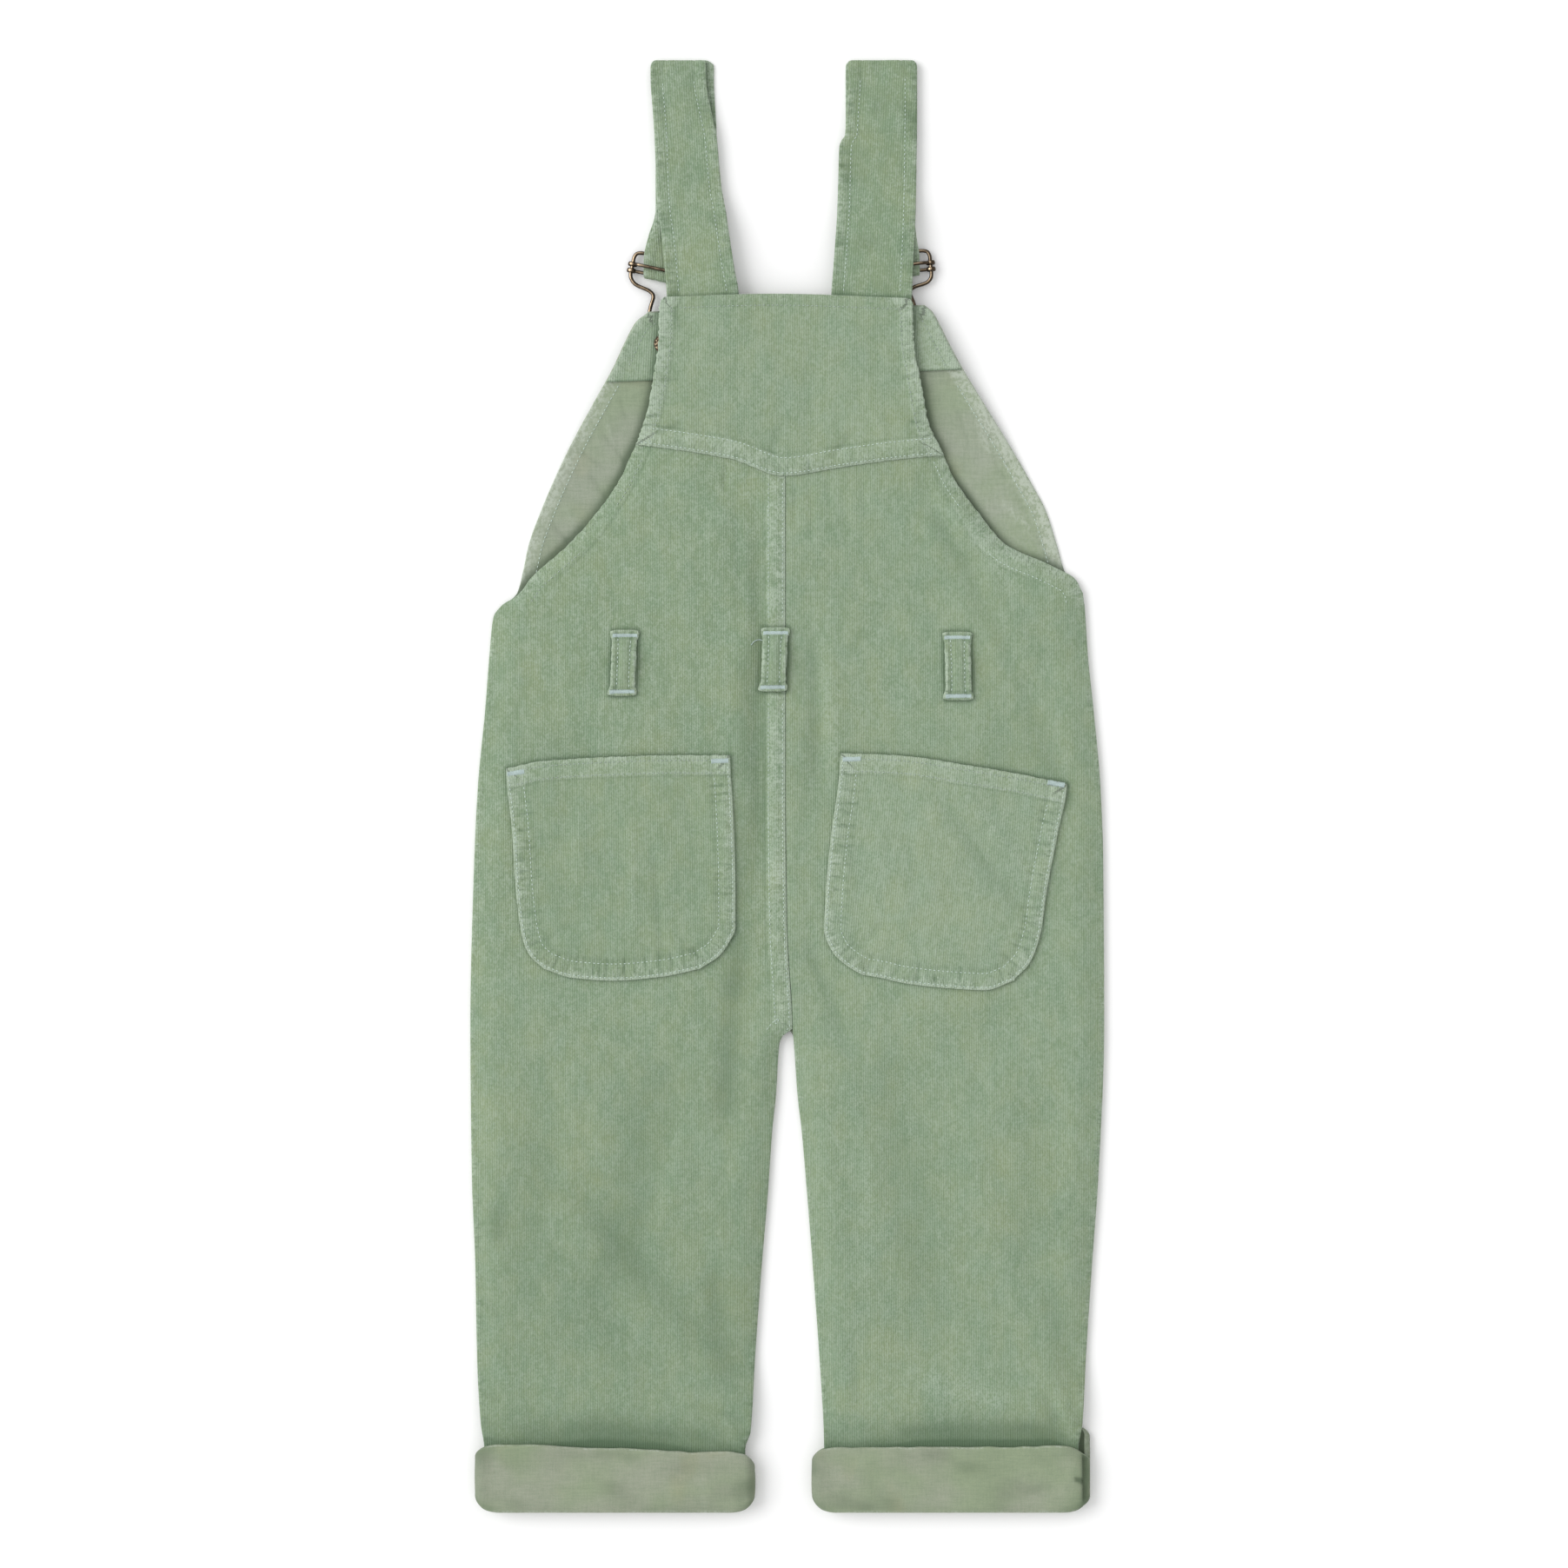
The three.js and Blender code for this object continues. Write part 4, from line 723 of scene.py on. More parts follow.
def makeBack(side):
    look = backLook
    isLeft = side == "left"
    topEdge = through(yokeLowerEdge, "share", "y")

    def top(share):
        return topEdge(0.5 * share + (0 if isLeft else 0.5)) + look["lap"]

    def inner(y):
        return seamLeft(y) + look["meet"] if isLeft else seamRight(y) - look["meet"]

    sides = (backLeftSide, inner) if isLeft else (inner, backRightSide)
    cut = Panel(*sides, top, straightEdge(legEnd), look["spacing"])
    outerPath = cut.path("left" if isLeft else "right")
    innerPath = cut.path("right" if isLeft else "left")
    armhole = outerPath[outerPath[:, 1] > 90]
    toArmhole, alongArmhole = follow(armhole, cut.x, cut.y)
    wide = look["hem"] + look["wider"][side] * smooth(160, 125, cut.y)
    scallop = ripples(alongArmhole, 1.5, 10) * ridge(toArmhole, 1.5) * smooth(92, 104, cut.y)
    cut.x += (-1 if isLeft else 1) * look["scallop"] * scallop
    x, y = cut.x, cut.y
    toOuter, alongOuter = follow(outerPath, x, y)
    toInner, alongInner = follow(innerPath, x, y)
    below = smooth(look["lap"], look["lap"] + 3, cut.fromTop)
    onHem = smooth(90, 100, y)
    hem = clipped((wide + 0.8 - toArmhole) / 0.8) * smooth(93, 101, y)
    hemRipple = gathered(alongArmhole, 1.8, 11) * ridge(toArmhole - 4, 4.5) * onHem
    groove = -0.3 * ridge(toArmhole - wide + 0.9, 1.0) * onHem
    over = backOver(x, y) + below * (look["hemRise"] * hem + look["hemPucker"] * hemRipple + groove)
    sideRipple = gathered(alongOuter, 2.8, 13) * ridge(toOuter, 6) * smooth(95, 80, y)
    legRipple = gathered(alongInner, 3, 14) * ridge(toInner, 6) * smooth(-128, -140, y)
    over += look["sidePucker"] * (sideRipple + legRipple) * smooth(0, 2, cut.edge)
    rub = look["rub"][side]
    wear = rub * (rubbing(toArmhole, 0.6 * wide, 0.6 * hemRipple, x, y, 15) + 0.22 * hem) * smooth(88, 98, y)
    wear += 0.55 * rubbing(toOuter, 3.6, sideRipple, x, y, 16) * smooth(98, 84, y)
    wear += 0.45 * rubbing(toInner, 3.2, legRipple, x, y, 17) * smooth(-125, -140, y)
    # Painted shade in a line just beyond the armhole hem
    crease = 0.4 * ridge(toArmhole - wide - 0.8, 0.9) * smooth(100, 110, y)
    aboveCrotch = smooth(-133, -127, y)
    if isLeft:
        onSeam = clipped((look["seam"] + 0.8 - cut.fromRight) / 0.8) * aboveCrotch
        seamRipple = gathered(y, 2.2, 18) * ridge(cut.fromRight - 4.6, 3.4)
        rows = ridge(cut.fromRight - 1.6, 0.9) + ridge(cut.fromRight - 9, 0.9)
        fall = smooth(-0.4, 1.6, cut.fromRight)
        over += below * onSeam * fall * (look["seamRise"] - 0.26 * rows + look["seamPucker"] * seamRipple)
        wear += onSeam * (0.42 + 0.1 * seamRipple + 0.22 * uneven(x, y, 3, 5, 19))
        wear += 0.8 * ridge(cut.fromRight - 0.5, 0.7) * aboveCrotch
        # Painted shade in a line beside the seam band
        crease += 0.4 * ridge(cut.fromRight - look["seam"] - 1.2, 0.9) * smooth(-133, -120, y)
        cut.edge = cut.edge * np.where(cut.fromRight < 2, mix(1, 4, aboveCrotch), 1)
    else:
        # Painted shadow where the right panel meets the seam's edge
        crease += 0.12 * ridge(cut.fromLeft, 1.1) * smooth(-133, -120, y)
        wear += 0.25 * ridge(cut.fromLeft - 3, 2) * aboveCrotch * (0.5 + 0.5 * uneven(x, y, 3, 4, 19))
        cut.edge = cut.edge * np.where(cut.fromLeft < 2, mix(1, 4, aboveCrotch), 1)
    # Painted shade in the fold hollows, along the painted folds and round the belt loops
    hollow = -foldHeight(folds, x, y) - foldHeight(creases, x, y)
    tone = foldHeight(paintedShadeAndLight, x, y)
    crease += np.maximum(hollow, 0) * 0.3 + 0.72 * np.maximum(tone, 0) + 0.85 * loopShade(x, y)
    # Painted shadow under the yoke's lower edge, and the legs darker towards the bottom
    crease += 0.1 * ridge(cut.fromTop - look["lap"] - 0.8, 0.8)
    crease += (0.28 if isLeft else 0.16) * smooth(-90, -320, y)
    # Painted shade on the leg where it runs into the cuff
    cuff = cuffs[side]
    cuffTop = mix(cuff["topLeft"], cuff["topRight"], (x - cuff["left"]) / (cuff["right"] - cuff["left"]))
    above = y - cuffTop
    dark = cuffShade[side](x) * (1 + 0.25 * uneven(x, y, 12, 60, 20))
    crease += dark * (2.2 * ridge(above - 0.3, 2.6) + 0.6 * ridge(above - 5, 8) + 0.14 * smooth(25, 8, above))
    # Painted shadow round the pocket, strongest above its top edge
    patch = pocketCut(side, 3)
    toTop, toRim = (follow(line, x, y)[0] for line in (patch.path("top"), pocketRim(patch)))
    crease += 0.8 * ridge(toTop, 1.5) + 0.45 * ridge(toRim, 1.3)
    # Painted light on the fold ridges and along the pale painted folds
    wear += 0.22 * np.maximum(-hollow, 0) + np.maximum(-tone, 0)
    seam = (np.minimum(toOuter, toInner), np.where(toOuter < toInner, alongOuter, alongInner + 700))
    piece = laidPiece(
        f"back_{side}", cut, backUnder(x, y), over, ("panelLeft" if isLeft else "panelRight", "wrong"), wear,
        crease, seam, [f"cloth_front_{side}"], darkest=2)
    backPanels[side] = {"cut": cut, "armhole": armhole, "piece": piece, "row": wide.max() - 1.1}


frontLook = {"spacing": 3.6, "waist": 84}


def makeFront(side):
    isLeft = side == "left"
    rows = through(frontCentre, "y", "left" if isLeft else "right")
    sides = (backLeftSide, rows) if isLeft else (rows, backRightSide)
    waist = straightEdge(frontLook["waist"] - cloth["gap"])
    cut = Panel(*sides, waist, straightEdge(legEnd), frontLook["spacing"])
    x, y = cut.x, cut.y
    low = frontUnder(y)
    wear = 0.35 * rubbing(cut.edge, 4, 0 * x, x, y, 21)
    used = ("wrong", "panelRight" if isLeft else "panelLeft")
    laidPiece(f"front_{side}", cut, low, low + cloth["wall"], used, wear, 0 * x, (cut.edge, y), ["floor"])


yokeLook = {"spacing": 1.0, "hem": 7.3, "rise": 0.5, "band": 10, "pucker": 0.26, "scallop": 0.55, "corner": 4}


def makeYoke():
    look = yokeLook
    lowerEdge = through(yokeLowerEdge, "share", "y")
    upperEdge = through(yokeTopEdge, "share", "y")

    def corner(y, end):
        past = np.clip(y - upperEdge(end) + look["corner"], 0, 0.97 * look["corner"])
        return look["corner"] - np.sqrt(look["corner"] ** 2 - past ** 2)

    cut = Panel(lambda y: backLeftSide(y) + corner(y, 0), lambda y: backRightSide(y) - corner(y, 1),
                upperEdge, lowerEdge, look["spacing"])
    paths = {side: cut.path(side) for side in ("left", "right", "top", "bottom")}
    toSide, alongSide = cut.near("left", "right")
    toBottom, alongBottom = cut.near("bottom")
    scallop = ripples(alongSide, 1.35, 31) * ridge(toSide, 1.5)
    cut.x += look["scallop"] * scallop * np.where(cut.fromLeft < cut.fromRight, -1, 1)
    cut.y -= 0.2 * ripples(alongBottom, 1.6, 30) * ridge(toBottom, 1.4)
    x, y = cut.x, cut.y
    low = backOver(x, y) + cloth["gap"]
    hem = clipped((look["hem"] + 0.8 - toSide) / 0.8)
    band = clipped((look["band"] + 0.8 - toBottom) / 0.8)
    topHem = clipped((6.6 - cut.fromTop) / 0.8) * 0.5
    sideRipple = gathered(alongSide, 1.7, 32) * ridge(toSide - 3, 5)
    bandRipple = gathered(alongBottom, 2.2, 34) * ridge(toBottom - 5, 4)
    rows = ridge(toBottom - 1.4, 0.8) + ridge(toBottom - 9.4, 0.9)
    rows = rows + ridge(toSide - 6.4, 0.9) + ridge(cut.fromTop - 6, 0.9)
    tuck = foldHeight(table(foldColumns, [
        (11, 172, 11, 160, 1.6, -0.35), (-74, 193, -66, 194, 1.1, -0.4), (-66, 212, -56, 212, 1.0, -0.3),
        (-72, 202, -63, 203, 1.2, 0.3), (69, 214, 60, 213, 1.2, -0.25), (73, 190, 64, 190, 1.1, -0.3),
        (-70, 184, -54, 190, 2, -0.3), (20, 168, 34, 186, 2.5, -0.25), (-30, 172, -44, 200, 3, 0.25),
        (-12, 164, -4, 190, 2.5, -0.2), (50, 180, 40, 216, 4, 0.25), (-58, 250, -56, 236, 1.6, -0.25),
    ]), x, y)
    raised = np.maximum(np.maximum(hem, band * smooth(-0.5, 2.2, toBottom)), topHem)
    high = low + cloth["wall"] * mix(0.55, 1, smooth(0, 1.8, toBottom)) + look["rise"] * raised - 0.28 * rows
    high += look["pucker"] * (sideRipple + 0.4 * bandRipple) * smooth(0, 1.5, cut.edge) + tuck
    high += 0.22 * uneven(x, y, 15, 26, 35) * smooth(4, 12, cut.edge)
    wear = rubbing(toSide, 5.5, 0.7 * sideRipple, x, y, 36) + 0.36 * hem
    wear += band * (0.38 + 0.14 * bandRipple + 0.22 * uneven(x, y, 4, 4, 37))
    wear += 0.9 * ridge(toBottom - 0.4, 0.7)
    # Paler along the top hem from wear, with painted light on the tuck ridges
    wear += 0.45 * rubbing(cut.fromTop, 5, 0 * x, x, y, 38) + 0.3 * np.maximum(tuck, 0)
    # Painted shade in the tucks and in lines beside the band and the side hems
    crease = np.maximum(-tuck, 0) * 1.6 + 0.4 * ridge(toBottom - look["band"] - 0.9, 0.8)
    crease += 0.25 * ridge(toSide - look["hem"] - 0.8, 0.8)
    piece = laidPiece("back_yoke", cut, low, high, ("yoke", "wrong"), wear, crease,
                      cut.near("left", "right", "top", "bottom"), ["cloth_back_left", "cloth_back_right"])
    return {"piece": piece, "cut": cut, **paths}


bibLook = {"spacing": 1.7, "hem": 7.3, "bottom": 84, "facingInset": 0.8, "shade": 3.4}


def makeBib():
    look = bibLook
    left, right = through(bibOutline, "y", "left"), through(bibOutline, "y", "right")
    top = through(bibTopEdge, "share", "y")
    cut = Panel(left, right, top, straightEdge(look["bottom"]), look["spacing"])
    x, y = cut.x, cut.y
    toSide, alongSide = cut.near("left", "right")
    low = frontUnder(y)
    hem = clipped((look["hem"] + 0.8 - toSide) / 0.8)
    ripple = gathered(alongSide, 1.9, 41) * ridge(toSide - 4, 4.5)
    crinkle = foldHeight(table(foldColumns, [
        (-96, 196, -90, 176, 1.4, 0.3), (-104, 164, -95, 150, 1.6, -0.25), (-118, 150, -108, 128, 1.6, 0.25),
        (100, 190, 108, 168, 1.6, 0.3), (118, 158, 126, 140, 1.6, -0.25), (-88, 204, -84, 190, 1.2, -0.25),
        (-98, 186, -84, 168, 1.2, -0.3), (-110, 176, -96, 166, 1.5, -0.25), (-124, 138, -112, 124, 1.5, -0.3),
        (88, 200, 96, 176, 1.6, -0.3), (104, 176, 116, 158, 1.4, -0.3), (112, 150, 130, 132, 1.8, 0.25),
        (126, 140, 138, 118, 1.6, -0.25),
    ]), x, y)
    high = low + cloth["wall"] + crinkle * 0.8 + 0.16 * ripple * hem
    # Paler from wear along the hem, with painted light on the crinkle ridges
    wear = 0.8 * rubbing(toSide, 5.5, 0.6 * ripple, x, y, 42) + 0.26 * hem + np.maximum(crinkle, 0)
    # The back's armhole edges throw a soft shade on the bib
    heights = np.linspace(84, 256, 240)
    armholes = [np.stack([curve(heights), heights], 1) for curve in (backLeftSide, backRightSide)]

    def underArmhole(x, y):
        away = np.minimum(*(follow(line, x, y)[0] for line in armholes))
        return (0.8 + 0.3 * uneven(x, y, 9, 12, 46)) * ridge(away, look["shade"])

    # Painted shade beside the hem, in the crinkles and under the back's armhole edges
    crease = 0.16 * ridge(toSide - look["hem"], 0.8) + np.maximum(-crinkle, 0) * 0.8 + underArmhole(x, y)
    # Painted light over the bib's right side and painted shade over its left
    wear += 0.24 * smooth(30, 120, x)
    crease += 0.13 * smooth(-40, -110, x)
    bib = laidPiece("front_bib", cut, low, high, ("wrong", "yoke"), wear, crease, (toSide, alongSide),
                    ["floor"], "wrong_side")
    strip = Panel(lambda v: left(v) + look["facingInset"], lambda v: right(v) - look["facingInset"],
                  lambda s: top(s) - look["facingInset"], through(facingLowerEdge, "share", "y"), 1.2)
    x, y = strip.x, strip.y
    low = frontUnder(y) + cloth["wall"] + cloth["gap"]
    inward, along = strip.near("left", "right", "top")
    toSide = strip.near("left", "right")[0]
    ripple = gathered(along, 1.7, 43) * ridge(inward - 4, 5)
    rows = ridge(toSide - 6.4, 0.9) + ridge(strip.fromTop - 6.4, 0.9)
    high = low + cloth["facingWall"] + 0.2 * ripple - 0.2 * rows + 0.12 * uneven(x, y, 6, 8, 47)
    # Paler from wear along the edges, with painted light over the right side
    wear = 0.7 * rubbing(toSide, 4, 0.6 * ripple, x, y, 44) + 0.12 + 0.36 * smooth(30, 90, x)
    wear += 0.5 * rubbing(strip.fromTop, 4.5, ripple, x, y, 45)
    # Painted shadow along the lower edge and under the back's armhole edges
    crease = 0.7 * ridge(strip.fromBottom - 0.3, 0.7) + underArmhole(x, y)
    facing = laidPiece("front_facing", strip, low, high, ("facing", "wrong"), wear, crease, (inward, along),
                       ["cloth_front_bib"])
    return {"bib": bib, "bibCut": cut, "facing": facing, "strip": strip}


pocketLook = {"spacing": 0.95, "hem": 10, "hemRise": 0.5, "puff": 0.7, "pucker": 0.4, "inner": 8.8}
pocketCreases = {
    "left": table(foldColumns, [
        (-82, -18, -80, -82, 3, 0.4), (-70, -30, -65, -100, 2.4, -0.4), (-108, -10, -112, -60, 5, 0.25),
        (-54, 0, -46, -60, 4, -0.25), (-128, -84, -112, -72, 2.5, -0.3), (-48, -90, -58, -76, 2.5, -0.3)]),
    "right": table(foldColumns, [
        (79, -7, 128, -74, 5, -0.4), (92, -2, 138, -62, 4, 0.35), (50, -14, 44, -70, 4, 0.3),
        (62, -20, 70, -84, 4, -0.25), (38, -84, 52, -70, 2.5, -0.3), (116, -92, 104, -78, 2.5, -0.3)]),
}


def makePocket(side):
    look = pocketLook
    cut = pocketCut(side, look["spacing"])
    rim, topPath = pocketRim(cut), cut.path("top")
    toRim, alongRim = follow(rim, cut.x, cut.y)
    toTop, alongTop = follow(topPath, cut.x, cut.y)
    cut.y += 0.25 * ripples(alongTop, 1.5, 51) * ridge(toTop, 1.4)
    x, y = cut.x, cut.y
    width = abs(pocketSides[side][0]["right"] - pocketSides[side][0]["left"])
    puff = look["puff"] * np.sin(math.pi * clipped(cut.fromLeft / width))
    low = backOver(x, y) + cloth["gap"] + np.maximum(puff, 0) * smooth(0, 30, cut.fromBottom)
    hem = clipped((look["hem"] + 0.8 - toTop) / 0.8)
    ripple = 0.5 * ripples(alongRim, 4.0, 52 + len(side)) * ridge(toRim - 6, 6.5)
    ripple += 0.4 * ripples(alongRim, 2.1, 53) * ridge(toRim - 4, 4)
    slanted = alongRim + 0.12 * toRim * uneven(alongRim, 0, 15, 1, 59)
    ladder = tucks(slanted, 5.4, 64 + len(side)) * ridge(toRim - 7, 5.5) * smooth(1.2, 3, toRim)
    ladder *= smooth(8, 14, toTop) * (0.75 + 0.4 * uneven(x, y, 3, 3, 60))
    hemRipple = gathered(alongTop, 2.2, 54) * ridge(toTop - 4.5, 4.5)
    rows = ridge(toRim - 1.4, 0.8) + ridge(toRim - look["inner"], 0.9)
    rows = rows + ridge(toTop - 2.8, 0.7) + ridge(toTop - 9.3, 0.9)
    fold = foldHeight(pocketCreases[side], x, y) * smooth(6, 14, cut.edge)
    high = low + cloth["wall"] + look["hemRise"] * hem - 0.24 * rows + fold
    high += look["pucker"] * (ripple + 0.2 * hemRipple - 0.9 * ladder) * smooth(0, 1.6, cut.edge)
    high += 0.26 * uneven(x, y, 13, 22, 55 + len(side)) * smooth(6, 14, cut.edge)
    wear = 0.85 * rubbing(toRim, 8.5, ripple - ladder, x, y, 56) + 0.5 * rubbing(toTop, 4, 0 * x, x, y, 57)
    # Paler along the hem from wear, with painted light on the fold ridges
    wear += 0.36 * hem * (0.8 + 0.3 * uneven(x, y, 5, 3, 58)) + 0.8 * np.maximum(fold, 0)
    wear += 0.6 * ridge(toRim - 0.5, 0.8) + 0.25 * ridge(toTop - 9.3, 0.8)
    # Painted shade in the hollows of the ripples and tucks, below the hem, in the folds and beside the inner
    # row
    crease = np.maximum(-ripple, 0) * 0.2 + 0.85 * ladder + 0.4 * ridge(toTop - look["hem"] - 0.7, 0.7)
    crease += 0.75 * np.maximum(-fold, 0) + 0.25 * ridge(toRim - look["inner"] - 2, 1.6)
    seam = (np.minimum(toRim, toTop + 6), np.where(toRim < toTop, alongRim, alongTop + 500))
    finish = "pocketLeft" if side == "left" else "pocketRight"
    piece = laidPiece(f"pocket_{side}", cut, low, high, (finish, "wrong"), wear, crease, seam,
                      [f"cloth_back_{side}"])
    return {"piece": piece, "cut": cut, "rim": rim, "top": topPath}


loopLook = {"spacing": 0.6, "wall": 1.8, "arch": 1.1, "row": 3.4, "lip": 1.7, "waist": 0.35, "flare": 1.1}


def makeLoop(loop):
    look = loopLook
    top, bottom, half = loop["top"], loop["bottom"], loop["width"] / 2

    def middle(y):
        return mix(loop["bottomX"], loop["topX"], (y - bottom) / (top - bottom))

    def drawnIn(y):
        flared = look["flare"] * (ridge(y - top + 1.5, 3) + ridge(y - bottom - 1.5, 3))
        return half + flared - look["waist"]

    cut = Panel(lambda y: middle(y) - drawnIn(y), lambda y: middle(y) + drawnIn(y),
                lambda s: float(top) - 0.9 * (2 * np.asarray(s) - 1) ** 6,
                lambda s: float(bottom) + 0.9 * (2 * np.asarray(s) - 1) ** 6, look["spacing"])
    toSide, alongSide = cut.near("left", "right")
    cut.x += 0.3 * ripples(alongSide, 1.7, 60) * ridge(toSide, 1.5) * np.where(cut.fromLeft < half, -1, 1)
    x, y = cut.x, cut.y
    along = clipped(cut.fromTop / (top - bottom))
    arch = look["arch"] * smooth(0.12, 0.4, along) * smooth(0.88, 0.6, along)
    low = backOver(x, y) + cloth["gap"] + loop["lift"] + arch
    toEnd = np.minimum(cut.fromTop, cut.fromBottom)
    rows = ridge(toSide - look["row"], 0.9)
    ripple = gathered(alongSide, 1.5, 61) * ridge(toSide - 1.5, 2)
    middlePuff = 0.3 * smooth(3.4, 6, toSide) * smooth(3, 7, toEnd)
    high = low + look["wall"] - 0.4 * rows + 0.22 * ripple - 0.45 * ridge(toEnd - 3, 1.1) + middlePuff
    high += 0.14 * uneven(x, y, 3, 4, 64)
    wear = 1.2 * rubbing(toSide, 1.6, ripple, x, y, 62) + 0.6 * rubbing(toEnd, 1.4, ripple, x, y, 65) + 0.12
    # Painted shade along the stitch rows and in a line inside each end
    crease = 0.75 * rows * (0.6 + 0.5 * uneven(x, y, 2, 3, 63)) + 0.35 * ridge(toEnd - 4.6, 0.8)
    marks = {"wear": clipped(wear), "crease": clipped(crease), "inward": toSide, "along": alongSide}
    rests = ["cloth_back_right" if loop["name"] == "right" else "cloth_back_left"]
    piece = clothPiece(
        f"belt_loop_{loop['name']}", *cut.heights(low, high, look["lip"]), ("loops", "wrong"), marks,
        (loop["width"], top - bottom), cut.area(), "laid", rests)
    return {"piece": piece, "cut": cut}


# Straps: one ribbon over the shoulder fold, down the front, round the lower bar and up to its end
buckles = {
    "left": {"x": -63.75, "y": 266, "turn": -12, "lean": 6.35},
    "right": {"x": 57.15, "y": 268.6, "turn": 6, "lean": 0},
}
strapColumns = "y z left right tilt"
strapSections = {
    "left": {
        "back": table(strapColumns, [
            (244, 9.0, -62.5, -25, 0), (257, 9.0, -63, -25.3, 0), (270, 8.8, -64, -27.5, 0),
            (286, 8.6, -65.5, -30, 0), (300, 6.5, -67.5, -32, 0), (314, 4.4, -68.5, -34.5, 0),
            (340, 4.1, -69.5, -37, 0), (352, 3.7, -70.3, -39.5, 0), (371, 3.5, -71.6, -42.6, 0)]),
        "front": table(strapColumns, [
            (371, 0.7, -70.4, -38.4, 0), (339, 0.7, -69, -37, 0), (302, 0.7, -69, -38, 0),
            (286, 0.7, -73, -43, -0.12), (275, 0.7, -75, -48.8, -0.21)]),
        "loop": (-75.2, -49.6),
        "inner": table(strapColumns, [
            (275, 4.7, -75, -49.4, -0.21), (287, 4.7, -71.5, -43, -0.12), (302, 2.4, -68.6, -38.5, 0),
            (337, 2.4, -69, -38.5, 0)]),
    },
    "right": {
        "back": table(strapColumns, [
            (244, 9.0, 22.5, 64, 0), (257, 9.0, 23, 65.2, 0), (270, 8.8, 24, 65.8, 0),
            (286, 8.6, 25.2, 66.6, 0), (300, 6.5, 26.1, 67.2, 0), (314, 4.4, 26.6, 67.5, 0),
            (334, 4.2, 27.2, 67.8, 0), (338, 4.1, 28.4, 67.9, 0), (340, 4.1, 30.1, 67.9, 0),
            (352, 3.7, 30.9, 68, 0), (371, 3.5, 32, 68, 0)]),
        "front": table(strapColumns, [
            (371, 0.7, 30.6, 67, 0), (339, 0.7, 30.6, 66.4, 0), (302, 0.7, 31.5, 66.6, 0),
            (288, 0.7, 36, 67.6, 0.05), (278, 0.7, 41.5, 69, 0.105)]),
        "loop": (42.6, 69.4),
        "inner": table(strapColumns, [
            (278, 4.7, 41.5, 69, 0.105), (289, 4.7, 32, 66.5, 0.05), (303, 2.4, 28.6, 64.5, 0),
            (337.5, 2.4, 28.6, 64, 0)]),
    },
}
strapLook = {"spacing": 1.1, "top": 380, "row": 6.3, "wireLevel": 2.7, "loopRadius": 2.0, "corner": 2.4,
             "foldCorner": 2.2}


def arc(radius, y, z, way, turn, start, end, tilt):
    rows = []
    for t in np.linspace(0, 1, 15):
        angle = turn * (math.pi / 2 - math.pi * t)
        rows.append({
            "y": y + way * radius * math.cos(angle), "z": z + radius * math.sin(angle),
            "left": mix(start[0], end[0], t), "right": mix(start[1], end[1], t), "tilt": tilt})
    return rows


